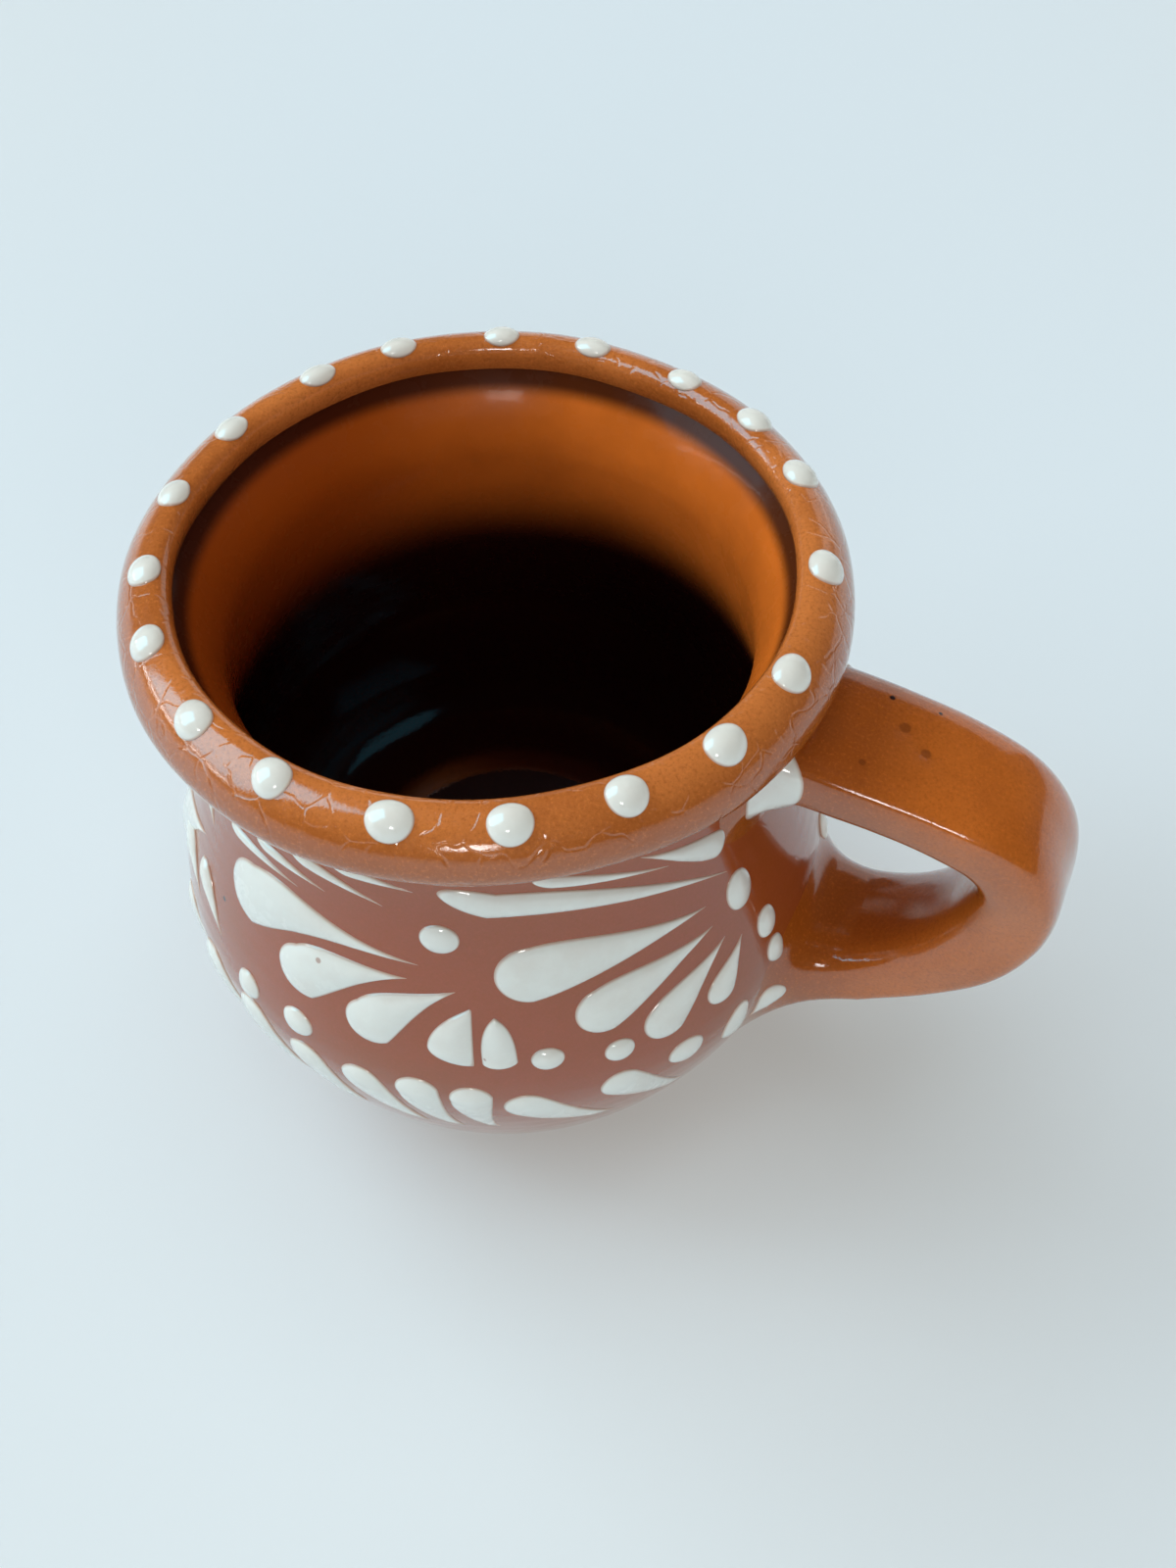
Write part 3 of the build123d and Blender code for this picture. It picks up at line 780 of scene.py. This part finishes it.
def mirrored(stroke, side):
    """The stroke itself for side 1, or its image across the handle for side -1."""
    if isinstance(stroke, Drop):
        return stroke._replace(place=(side * stroke.place[0], stroke.place[1]), turn=side * stroke.turn)
    head, tail = (side * stroke.head[0], stroke.head[1]), (side * stroke.tail[0], stroke.tail[1])
    return stroke._replace(head=head, tail=tail, bow=side * stroke.bow, lean=side * stroke.lean)


def clay_tree(*names):
    """Finished clay pieces, for laying slip on them."""
    points, faces = [], []
    for name in names:
        mesh = bpy.data.objects[name].data
        first = len(points)
        points.extend(v.co.copy() for v in mesh.vertices)
        faces.extend([first + index for index in p.vertices] for p in mesh.polygons)
    return BVHTree.FromPolygons(points, faces)


# Finishes

# Patches for each metre: clouds of colour, waves of the surface, speckles, grains and grit
CLOUDS, WAVES, SPECKLES, GRAINS, GRIT = 42, 110, 520, 420, 2300
# Depths of relief
WAVE_DEPTH, FINE_DEPTH, GRAIN_DEPTH = 0.4 * MM, 0.3 * MM, 0.2 * MM
# Crackle: wander of its lines, in patches for each metre and in metres, cells for each metre, line breadth
CRACK_WANDER, CRACK_DRIFT, CRACK_CELLS, CRACK_BREADTH = 150, 6 * MM, 190, 0.05
# Radii between which painted shade rises on the lip's outer side, and places along +X between which painted
# shade rises towards the strap's roots
LIP_SHADE, ROOT_SHADE = (41.5 * MM, 45.5 * MM), (61 * MM, 46 * MM)
# Inside: heights between which the painted shade of the belly ends, its lean, and heights of the painted
# shade in the groove below the lip
BELLY_SHADE_EDGE, BELLY_SHADE_LEAN, GROOVE_SHADE = (53 * MM, 70 * MM), (0, -0.12, 1), (84.8 * MM, 86.8 * MM)
# Inside: direction and places of the painted shade on one side, and heights between which the gloss fades
SHADED_SIDE, SIDE_SHADE_EDGE, GLOSS_EDGE = (0.77, 0.64, 0), (26 * MM, -18 * MM), (50 * MM, 66 * MM)

# Dark specks: place and radius in mm
SPECKS = (
    ((50.6, 6.1, 78.2), 0.5), ((56.6, 6.8, 76.9), 0.35), ((-24.3, -35, 52.4), 0.5), ((47.5, 1.5, 78.7), 0.25),
    ((61.5, 5.5, 74.6), 0.25),
)
# Where glaze has gathered in the strap's dimples
DENTS = (((53.2, 2.4, 77.6), 1.0), ((56.5, -0.1, 76.9), 0.9), ((49.9, -5.2, 78.4), 0.6))
# Pinholes in the slip
PINHOLES = (((-6.8, -41.4, 56.8), 0.55), ((15, -42.2, 46.6), 0.5), ((4.2, -44.6, 50.2), 0.3))


def fill(tree, made, inputs):
    """Joins a node's inputs to sockets, or sets their values."""
    for name, value in inputs.items():
        if isinstance(value, bpy.types.NodeSocket):
            tree.links.new(value, made.inputs[name])
        else:
            made.inputs[name].default_value = value


def node(tree, kind, inputs, **settings):
    """A new shader node with its settings and inputs."""
    made = tree.nodes.new("ShaderNode" + kind)
    for name, value in settings.items():
        setattr(made, name, value)
    fill(tree, made, inputs)
    return made


def finish_start(name):
    """A new material with its shader."""
    made = bpy.data.materials.new(name)
    made.use_nodes = True
    tree = made.node_tree
    tree.nodes.clear()
    shader = node(tree, "BsdfPrincipled", {})
    node(tree, "OutputMaterial", {"Surface": shader.outputs["BSDF"]})
    return made, tree, shader


def place_of(tree):
    """Places in the mug's own space, in metres."""
    return node(tree, "TexCoord", {}).outputs["Object"]


def along(tree, direction):
    """How far places lie along a direction, in metres."""
    inputs = {0: place_of(tree), 1: direction}
    return node(tree, "VectorMath", inputs, operation="DOT_PRODUCT").outputs["Value"]


def cloud(tree, scale, detail, roughness=0.55):
    """Noise in the mug's own space; scale is in patches for each metre."""
    inputs = {"Vector": place_of(tree), "Scale": scale, "Detail": detail, "Roughness": roughness}
    return node(tree, "TexNoise", inputs).outputs["Fac"]


def span(tree, value, low, high, start=0, end=1):
    """Stretches a value from low..high to start..end, smoothly."""
    inputs = {"Value": value, "From Min": low, "From Max": high, "To Min": start, "To Max": end}
    return node(tree, "MapRange", inputs, interpolation_type="SMOOTHSTEP").outputs["Result"]


def blend(tree, factor, first, second):
    """Mixes two colours, each a colour or a socket."""
    made = node(tree, "Mix", {"Factor": factor}, data_type="RGBA")
    colours = [index for index, socket in enumerate(made.inputs) if socket.type == "RGBA"]
    for index, value in zip(colours, (first, second)):
        fill(tree, made, {index: value if isinstance(value, bpy.types.NodeSocket) else (*value, 1)})
    return next(socket for socket in made.outputs if socket.type == "RGBA")


def larger(tree, first, second):
    """The larger of two values."""
    return node(tree, "Math", {0: first, 1: second}, operation="MAXIMUM").outputs["Value"]


def relief(tree, *layers):
    """Bump from (value, strength, depth) layers, one on another."""
    below = {}
    for value, strength, depth in layers:
        made = node(tree, "Bump", {"Strength": strength, "Distance": depth, "Height": value, **below})
        below = {"Normal": made.outputs["Normal"]}
    return below["Normal"]


def glaze(tree, shader, weight, roughness):
    """Clear gloss coat over what is below."""
    coat = {"Coat Weight": weight, "Coat Roughness": roughness, "Coat IOR": 1.68, "Specular IOR Level": 0.1}
    fill(tree, shader, coat)


def spots(tree, places):
    """1 at small spots on the mug, 0 elsewhere; places are ((x, y, z), radius) in mm."""
    where, total = place_of(tree), None
    for middle, radius in places:
        inputs = {0: where, 1: [value * MM for value in middle]}
        reach = node(tree, "VectorMath", inputs, operation="DISTANCE").outputs["Value"]
        spot = span(tree, reach, 0.5 * radius * MM, radius * MM, 1, 0)
        total = spot if total is None else larger(tree, total, spot)
    return total


def crackle(tree):
    """Fine wandering lines in the glaze, a few millimetres apart."""
    where = place_of(tree)
    wander = node(tree, "TexNoise", {"Vector": where, "Scale": CRACK_WANDER}).outputs["Color"]
    inputs = {0: wander, 1: [CRACK_DRIFT] * 3, 2: where}
    moved = node(tree, "VectorMath", inputs, operation="MULTIPLY_ADD").outputs["Vector"]
    cells = node(tree, "TexVoronoi", {"Vector": moved, "Scale": CRACK_CELLS}, feature="DISTANCE_TO_EDGE")
    return span(tree, cells.outputs["Distance"], 0, CRACK_BREADTH)


def outer_shade(tree):
    """Rises from 0 on the lip's top to its outer side: painted shade where the lip turns away from the light.
    """
    level = node(tree, "VectorMath", {0: place_of(tree), 1: (1, 1, 0)}, operation="MULTIPLY")
    radius = node(tree, "VectorMath", {0: level.outputs["Vector"]}, operation="LENGTH").outputs["Value"]
    return span(tree, radius, *LIP_SHADE, 0, 0.8)


def shade_near_roots(tree):
    """Rises from 0 along the strap to its roots: painted shade of the lip and the wall on the strap."""
    return span(tree, along(tree, (1, 0, 0)), *ROOT_SHADE, 0, 0.75)


def glazed_clay(name, colours, clay, gloss, grain, cracks, gathered=None):
    """Red clay under clear glaze: cloudy colour, fine grit and a slightly uneven gloss."""
    made, tree, shader = finish_start(name)
    grit = cloud(tree, GRIT, 3, 0.7)
    cloudy = [0.5 * (a + b) for a, b in zip(clay, colours.deep_clay_and_shade)]
    base = blend(tree, span(tree, cloud(tree, CLOUDS, 6), 0.36, 0.66), clay, cloudy)
    # Painted shade: the clay darkens where darkened rises, on the lip's outer side and on the strap near its
    # roots
    if gathered is not None:
        base = blend(tree, gathered(tree), base, colours.deep_clay_and_shade)
    for factor, tint in (
        (span(tree, grit, 0.5, 0.3, 0, 0.4), colours.deep_clay_and_shade),
        (span(tree, grit, 0.52, 0.72, 0, 0.4), [min(1, 1.25 * value) for value in clay]),
        (span(tree, cloud(tree, SPECKLES, 2), 0.8, 0.86, 0, 0.6), colours.specks_and_hollow_shade),
        (spots(tree, SPECKS), colours.specks_and_hollow_shade),
        (span(tree, spots(tree, DENTS), 0, 1, 0, 0.45), colours.dent),
    ):
        base = blend(tree, factor, base, tint)
    waves = (cloud(tree, WAVES, 2), 0.12, WAVE_DEPTH)
    grains = (cloud(tree, GRAINS, 2), grain, GRAIN_DEPTH)
    lines = (crackle(tree), cracks, FINE_DEPTH)
    fill(tree, shader, {
        "Base Color": base,
        "Roughness": span(tree, cloud(tree, 260, 4), 0.3, 0.75, 0.12, 0.24),
        "Normal": relief(tree, waves, grains, (grit, grain, GRAIN_DEPTH)),
        "Coat Normal": relief(tree, waves, lines, (grit, 0.15 * grain, GRAIN_DEPTH)),
    })
    glaze(tree, shader, gloss, 0.02)
    return made


def glazed_hollow(name, colours):
    """Inside of the mug: orange at the neck, with painted shade on one side, in the groove below the lip and,
    nearly black, in the belly.
    """
    made, tree, shader = finish_start(name)
    height = along(tree, (0, 0, 1))
    patches = span(tree, cloud(tree, 40, 5), 0.3, 0.8, 0, 0.6)
    upper = blend(tree, patches, colours.hollow, colours.deep_clay_and_shade)
    # Painted shade on one side of the neck's inside
    thick = span(tree, along(tree, SHADED_SIDE), *SIDE_SHADE_EDGE, 0, 0.95)
    upper = blend(tree, thick, upper, colours.hollow_side_shade)
    # Painted shade: nearly black in the belly, below an edge that leans with the light
    base = blend(tree, span(tree, along(tree, BELLY_SHADE_LEAN), *BELLY_SHADE_EDGE), colours.specks_and_hollow_shade, upper)
    normal = relief(tree, (cloud(tree, 90, 2), 0.12, WAVE_DEPTH), (cloud(tree, 1400, 3), 0.1, 0.1 * MM))
    glaze(tree, shader, 0.8, 0.04)
    fill(tree, shader, {
        # Painted shade in the groove below the lip
        "Base Color": blend(tree, span(tree, height, *GROOVE_SHADE, 0, 0.9), base, colours.specks_and_hollow_shade),
        "Roughness": span(tree, cloud(tree, 300, 4), 0.3, 0.75, 0.2, 0.34),
        "Normal": normal,
        "Coat Normal": normal,
        "Coat Weight": span(tree, height, *GLOSS_EDGE, 0.9, 0.04),
    })
    return made


def bare_foot(name, colours):
    """Unglazed clay that the mug stands on."""
    made, tree, shader = finish_start(name)
    patches = span(tree, cloud(tree, 160, 6), 0.35, 0.7)
    fill(tree, shader, {
        "Base Color": blend(tree, patches, colours.bare_clay, colours.clay),
        "Roughness": 0.85,
        "Normal": relief(tree, (cloud(tree, 1200, 4), 0.4, GRAIN_DEPTH)),
    })
    return made


def white_slip(name, colours):
    """Raised white slip under clear glaze, thin and clay-tinted at its very edge."""
    made, tree, shader = finish_start(name)
    level = node(tree, "Attribute", {}, attribute_name="thickness").outputs["Fac"]
    patches = span(tree, cloud(tree, 180, 4), 0.4, 0.7, 0, 0.12)
    upper = blend(tree, patches, colours.slip, colours.slip_thin)
    base = blend(tree, span(tree, level, 0.02, 0.3), colours.slip_thin, upper)
    pinholes = span(tree, spots(tree, PINHOLES), 0, 1, 0, 0.6)
    fill(tree, shader, {
        "Base Color": blend(tree, pinholes, base, colours.deep_clay_and_shade),
        "Roughness": span(tree, cloud(tree, 400, 3), 0.3, 0.75, 0.18, 0.32),
        "Normal": relief(tree, (cloud(tree, 260, 3), 0.2, FINE_DEPTH)),
        "Coat Normal": relief(tree, (cloud(tree, 260, 2), 0.1, FINE_DEPTH)),
    })
    glaze(tree, shader, 1, 0.03)
    return made


def kept(name, maker, *values, **named):
    """A finish made once and shared by the pieces that take it."""
    return bpy.data.materials.get(name) or maker(name, *values, **named)


def slip_finish(context):
    """The finish that all the slip shares."""
    return kept("glaze_on_slip", white_slip, context.scene.clay_mug_colours)


# Operators: one for each piece or group of like pieces


class CLAYMUG_OT_body(bpy.types.Operator):
    """Turns the body: foot, belly, neck and hollow"""

    bl_idname = "clay_mug.body"
    bl_label = "Turned body"

    def execute(self, context):
        sizes, colours = context.scene.clay_mug_sizes, context.scene.clay_mug_colours
        wall = Wall(sizes)
        edge, radius = sizes.foot_edge, sizes.foot_radius
        hollow = [(reach * radius, lift * FOOT_LIFT) for reach, lift in FOOT_HOLLOW]
        rounding = [(radius - inwards * edge, up * edge) for inwards, up in FOOT_ROUNDING]
        foot = np.array(hollow + rounding)
        outer = wall.outer[wall.outer[:, 1] > ROUNDING_TOP * edge]
        base = sizes.floor_thickness
        floor = np.array([(reach * sizes.floor_radius, base) for reach in FLOOR_RINGS])
        outline = np.vstack([foot, outer, wall.inner, floor])
        shells = Shells()
        slots = [FOOT] * len(foot) + [OUTSIDE] * len(outer) + [HOLLOW] * (len(wall.inner) + len(floor) + 1)
        shells.add(turned(outline, WALL_STEPS), (0, 0, FOOT_LIFT), (0, 0, base), slots=slots)
        body = shells.piece("body", [
            kept("glaze_on_body", glazed_clay, colours, colours.clay, gloss=0.85, grain=0.1, cracks=0.03),
            kept("glaze_in_hollow", glazed_hollow, colours),
            kept("bare_foot", bare_foot, colours),
        ])
        dress(body, "glazed_clay", "vessel_body")
        return {"FINISHED"}


class CLAYMUG_OT_lip(bpy.types.Operator):
    """Rolls the lip on to the neck"""

    bl_idname = "clay_mug.lip"
    bl_label = "Rolled lip"

    def execute(self, context):
        lip = Lip(context.scene.clay_mug_sizes)
        azimuth = np.arange(LIP_STEPS) * ROUND / LIP_STEPS
        place = np.arange(LIP_SIDES) * ROUND / LIP_SIDES
        rings, _ = lip.point(azimuth[:, None] + 0 * place, place[None, :] + 0 * azimuth[:, None])
        shells = Shells()
        rows, columns = rings.shape[:2]
        shells.points.extend(rings.reshape(-1, 3))
        shells.thickness.extend([0] * rows * columns)
        index = np.arange(rows * columns).reshape(rows, columns)
        beside, over = np.roll(index, -1, axis=0), np.roll(index, -1, axis=1)
        corner = np.roll(beside, -1, axis=1)
        shells.faces.extend(zip(index.ravel(), beside.ravel(), corner.ravel(), over.ravel()))
        shells.slots.extend([0] * rows * columns)
        colours = context.scene.clay_mug_colours
        # The lip's outer side is darkened with painted shade
        finish = kept(
            "glaze_on_lip", glazed_clay, colours, colours.lip_clay,
            gloss=1, grain=0.5, cracks=0.22, gathered=outer_shade,
        )
        dress(shells.piece("lip", [finish]), "glazed_clay", "rim_coil")
        return {"FINISHED"}


class CLAYMUG_OT_handle(bpy.types.Operator):
    """Pulls the strap handle and smooths its roots into the wall"""

    bl_idname = "clay_mug.handle"
    bl_label = "Strap handle"

    def execute(self, context):
        sizes = context.scene.clay_mug_sizes
        rings = dimpled(hand_pulled(handle_rings(sizes, Wall(sizes))))
        inside = 2 * MM
        start = (sizes.neck_radius - inside, 0, sizes.upper_root_height)
        end = (sizes.belly_radius - inside, 0, sizes.lower_root_height)
        shells = Shells()
        shells.add(rings, start, end)
        colours = context.scene.clay_mug_colours
        # The strap is darkened with painted shade near its roots
        finish = kept(
            "glaze_on_handle", glazed_clay, colours, colours.handle_clay,
            gloss=1, grain=0.5, cracks=0.03, gathered=shade_near_roots,
        )
        dress(shells.piece("handle", [finish]), "glazed_clay", "handle_strap", "upper_luting", "lower_luting")
        return {"FINISHED"}


class CLAYMUG_OT_rim_drops(bpy.types.Operator):
    """Sets the round slip drops along the lip"""

    bl_idname = "clay_mug.rim_drops"
    bl_label = "Drops on the lip"

    def execute(self, context):
        sizes = context.scene.clay_mug_sizes
        lip = Lip(sizes)
        shells = Shells()
        height = sizes.rim_drop_height / MM
        for number, (degrees, turn) in enumerate(RIM_DROPS):
            wave = noise.noise(Vector((number * 3.7 + 0.4, 0.3, 0.8)))
            half = sizes.rim_drop_radius / MM * (1 + DROP_SPREAD * wave)
            narrow = 1 - DROP_NARROWING * max(0, turn - DROP_TURN)
            stations = drop_grid(half, half * narrow * (DROP_BREADTH - DROP_BREADTH_SPREAD * wave))
            azimuth, place = math.radians(degrees), math.radians(turn)
            stretch = lip.stretch(place)

            def laid(flat, level):
                across, up = flat[..., 0] * MM / sizes.lip_radius, flat[..., 1] * MM / stretch
                point, out = lip.point(azimuth + across, place + up)
                return point + out * (level * MM)[..., None]

            trail(shells, stations, height * narrow, height, laid)
        dress(shells.piece("lip_drops", [slip_finish(context)]), "white_slip", "rim_drops")
        return {"FINISHED"}


class CLAYMUG_OT_sprays(bpy.types.Operator):
    """Trails the five sprays of slip petals round the belly"""

    bl_idname = "clay_mug.sprays"
    bl_label = "Petal sprays"

    def execute(self, context):
        sizes = context.scene.clay_mug_sizes
        wall, handle = Wall(sizes), clay_tree("handle")
        slip = slip_finish(context)
        for number, (spray, focus, petals, again) in enumerate(SPRAYS):
            shells = Shells()
            roots = handle if spray == "handle_spray" else None
            for step, stroke in enumerate(petals):
                if again:
                    stroke = nudged(stroke, HAND_OFF, number * SPRAY_SEEDS + step)
                petal(shells, stroke, focus, wall, roots, sizes)
            dress(shells.piece(spray.replace("spray", "petals"), [slip]), "white_slip", spray)
        return {"FINISHED"}


class CLAYMUG_OT_foot_commas(bpy.types.Operator):
    """Trails the slanting commas low on the belly"""

    bl_idname = "clay_mug.foot_commas"
    bl_label = "Commas round the foot"

    def execute(self, context):
        sizes = context.scene.clay_mug_sizes
        wall = Wall(sizes)
        shells = Shells()
        for stroke in NEAR_COMMAS:
            petal(shells, stroke, 0, wall, None, sizes)
        for number, azimuth in enumerate(FURTHER_COMMAS):
            petal(shells, nudged(FURTHER_COMMA, HAND_OFF, COMMA_SEED + number), azimuth, wall, None, sizes)
        dress(shells.piece("belly_commas", [slip_finish(context)]), "white_slip", "foot_commas")
        return {"FINISHED"}


class CLAYMUG_OT_root_drops(bpy.types.Operator):
    """Sets the slip drops beside and on the handle's roots"""

    bl_idname = "clay_mug.root_drops"
    bl_label = "Drops at the handle's roots"

    def execute(self, context):
        sizes = context.scene.clay_mug_sizes
        wall, handle, clay = Wall(sizes), clay_tree("handle"), clay_tree("handle", "body")
        slip, height = slip_finish(context), sizes.slip_height / MM
        beside, on = Shells(), Shells()
        for side in SIDES:
            for stroke in BESIDE_ROOTS:
                petal(beside, mirrored(stroke, side), 0, wall, handle, sizes)
            for stroke in ON_LOWER_ROOT:
                petal(on, mirrored(stroke, side), 0, wall, handle, sizes)
        dress(beside.piece("drops_beside_roots", [slip]), "white_slip", "beside_root_drops")
        stations = drop_grid(ON_UPPER_ROOT.half_width, ON_UPPER_ROOT.half_height)
        for side in SIDES:
            trail(on, stations, height, height, partial(cast_on_side, clay, ON_UPPER_ROOT, side))
        dress(on.piece("drops_on_roots", [slip]), "white_slip", "on_root_drops")
        return {"FINISHED"}


def cast_on_side(clay, drop, side, flat, level):
    """Lays flat places on one side of the clay, looking level from SIDE_LOOK degrees beside the handle."""
    look, turn = math.radians(SIDE_LOOK), math.radians(drop.turn)
    outward = Vector((math.cos(look), side * math.sin(look), 0))
    level_way = Vector((math.sin(look), -side * math.cos(look), 0))
    made = np.empty(flat.shape[:-1] + (3,))
    for index in np.ndindex(*flat.shape[:-1]):
        x, y = flat[index]
        sideways = drop.place[0] + x * math.cos(turn) - y * math.sin(turn)
        height = drop.place[1] + x * math.sin(turn) + y * math.cos(turn)
        start = (level_way * sideways + outward * SIDE_START + Vector((0, 0, height))) * MM
        hit, normal, _, _ = clay.ray_cast(start, -outward)
        if hit is None:
            raise RuntimeError(f"a drop at {drop.place} reaches past the handle's root")
        if normal.dot(outward) < 0:
            normal = -normal
        made[index] = hit + normal * (level[index] * MM)
    return made


# Tints of the lamps
COOL, NEUTRAL, WARM, SKY = (0.92, 0.98, 1.0), (1.0, 0.98, 0.96), (1.0, 0.92, 0.82), (0.2, 0.75, 1.0)
# Lamps that only show in the glaze, and lamps that only light the clay: name, place, width, height, tint
SEEN_LAMPS = (
    ("window", (-1.64, -0.70, 1.61), 1.8, 2.3, SKY),
    ("sill", (-2.3, -0.83, 0.56), 1.8, 0.05, COOL),
    ("glint", (0.52, -1.94, 1.02), 0.45, 0.3, NEUTRAL),
    ("backdrop", (-0.08, 2.32, 0.62), 2.2, 1.2, NEUTRAL),
)
SOFT_LAMPS = (
    ("daylight", (-2.54, 0.22, 2.55), 2.7, 1.8, COOL),
    ("left", (-2.83, -1.32, 1.80), 2.7, 1.8, COOL),
    ("back", (-2.42, 1.69, 2.06), 2.7, 1.8, COOL),
    ("front", (0.88, -1.73, 1.03), 1.8, 1.2, NEUTRAL),
    ("overhead", (0.04, 0, 2.2), 1.8, 1.2, NEUTRAL),
    ("right", (2.25, 0.40, 0.74), 1.8, 1.2, WARM),
    ("right_back", (1.43, 1.70, 0.90), 1.8, 1.2, WARM),
)
# What the lamps look at
LAMP_AIM = Vector((0, 0, 50 * MM))
# Half of the floor's side, and how far it lies below the foot
FLOOR_HALF, FLOOR_DROP = 6, 0.02 * MM
# Warmer patches of the floor, as shares of its colour, and the tints of its glow and of the room
FLOOR_WARMTH, FLOOR_GLOW_TINT, ROOM_TINT = (1.04, 0.99, 0.95), (1.0, 0.95, 0.84, 1), (0.92, 0.97, 1.0)
# Rise of the view between which the pale walls give way to the dim ceiling
WALL_TOP = (0.035, 0.06)


class CLAYMUG_OT_stage(bpy.types.Operator):
    """Sets the floor, the lights and the camera"""

    bl_idname = "clay_mug.stage"
    bl_label = "Floor, lights and camera"

    def execute(self, context):
        scene, stage = context.scene, context.scene.clay_mug_stage
        self.floor(scene, stage)
        for lamp in SEEN_LAMPS:
            self.lamp(scene, stage, *lamp).visible_diffuse = False
        for lamp in SOFT_LAMPS:
            self.lamp(scene, stage, *lamp).visible_glossy = False
        self.room(scene, stage)
        lens = bpy.data.cameras.new("camera")
        lens.sensor_fit, lens.sensor_width = "AUTO", 36
        lens.lens = stage.camera_lens
        lens.clip_start, lens.clip_end = 0.01, 20
        camera = bpy.data.objects.new("camera", lens)
        camera.location = stage.camera_place
        camera.rotation_euler = Euler(stage.camera_turn, "XYZ")
        scene.collection.objects.link(camera)
        scene.camera = camera
        scene.view_settings.view_transform = "Standard"
        return {"FINISHED"}

    def floor(self, scene, stage):
        """Large pale floor."""
        mesh = bpy.data.meshes.new("floor")
        half, drop = FLOOR_HALF, -FLOOR_DROP
        corners = [(-half, -half, drop), (half, -half, drop), (half, half, drop), (-half, half, drop)]
        mesh.from_pydata(corners, [], [(0, 1, 2, 3)])
        made, tree, shader = finish_start("pale_floor")
        pale = scene.clay_mug_colours.floor
        warm = [min(1, value * warmth) for value, warmth in zip(pale, FLOOR_WARMTH)]
        path = node(tree, "LightPath", {})
        seen = path.outputs["Is Camera Ray"]
        for name in ("Is Glossy Ray", "Is Transmission Ray"):
            seen = larger(tree, seen, path.outputs[name])
        fill(tree, shader, {
            "Base Color": blend(tree, span(tree, cloud(tree, 1.5, 1), 0.35, 0.65), pale, warm),
            "Roughness": 0.6,
            "Specular IOR Level": 0.2,
            "Emission Color": FLOOR_GLOW_TINT,
            "Emission Strength": span(tree, seen, 0, 1, 0, stage.floor_glow),
        })
        mesh.materials.append(made)
        floor = bpy.data.objects.new("floor", mesh)
        scene.collection.objects.link(floor)

    def lamp(self, scene, stage, name, place, width, height, tint):
        """A large soft lamp that looks at the mug."""
        light = bpy.data.lights.new(name, "AREA")
        light.shape, light.size, light.size_y = "RECTANGLE", width, height
        light.energy, light.color = getattr(stage, name + "_power"), tint
        lamp = bpy.data.objects.new(name, light)
        lamp.location = place
        lamp.rotation_euler = (LAMP_AIM - Vector(place)).to_track_quat("-Z", "Y").to_euler()
        scene.collection.objects.link(lamp)
        return lamp

    def room(self, scene, stage):
        """A room with pale walls and a dim ceiling."""
        world = bpy.data.worlds.new("room")
        scene.world = world
        world.use_nodes = True
        tree = world.node_tree
        tree.nodes.clear()
        low, high = ([light * tint for tint in ROOM_TINT] for light in (stage.low_light, stage.high_light))
        parts = node(tree, "SeparateXYZ", {"Vector": node(tree, "TexCoord", {}).outputs["Generated"]})
        tint = blend(tree, span(tree, parts.outputs["Z"], *WALL_TOP), low, high)
        light = node(tree, "Background", {"Color": tint})
        node(tree, "OutputWorld", {"Surface": light.outputs["Background"]})


class CLAYMUG_PT_panel(bpy.types.Panel):
    """Lists the mug's pieces and settings"""

    bl_label = "Clay mug"
    bl_idname = "CLAYMUG_PT_panel"
    bl_space_type = "VIEW_3D"
    bl_region_type = "UI"
    bl_category = "Clay mug"

    def draw(self, context):
        for operator in OPERATORS:
            self.layout.operator(operator.bl_idname)
        for group, kind in GROUPS.items():
            box = self.layout.box()
            for name in kind.__annotations__:
                box.prop(getattr(context.scene, group), name)


GROUPS = {"clay_mug_sizes": ClayMugSizes, "clay_mug_colours": ClayMugColours, "clay_mug_stage": ClayMugStage}
OPERATORS = (
    CLAYMUG_OT_body, CLAYMUG_OT_lip, CLAYMUG_OT_handle, CLAYMUG_OT_rim_drops, CLAYMUG_OT_sprays,
    CLAYMUG_OT_foot_commas, CLAYMUG_OT_root_drops, CLAYMUG_OT_stage,
)


def register():
    for made in (*GROUPS.values(), *OPERATORS, CLAYMUG_PT_panel):
        bpy.utils.register_class(made)
    for name, group in GROUPS.items():
        setattr(bpy.types.Scene, name, PointerProperty(type=group))


def unregister():
    for name in GROUPS:
        delattr(bpy.types.Scene, name)
    for made in reversed((*GROUPS.values(), *OPERATORS, CLAYMUG_PT_panel)):
        bpy.utils.unregister_class(made)


def main():
    """Builds the mug and its stage."""
    register()
    bpy.ops.clay_mug.body()
    bpy.ops.clay_mug.lip()
    bpy.ops.clay_mug.handle()
    bpy.ops.clay_mug.rim_drops()
    bpy.ops.clay_mug.sprays()
    bpy.ops.clay_mug.foot_commas()
    bpy.ops.clay_mug.root_drops()
    bpy.ops.clay_mug.stage()


if __name__ == "__main__":
    main()
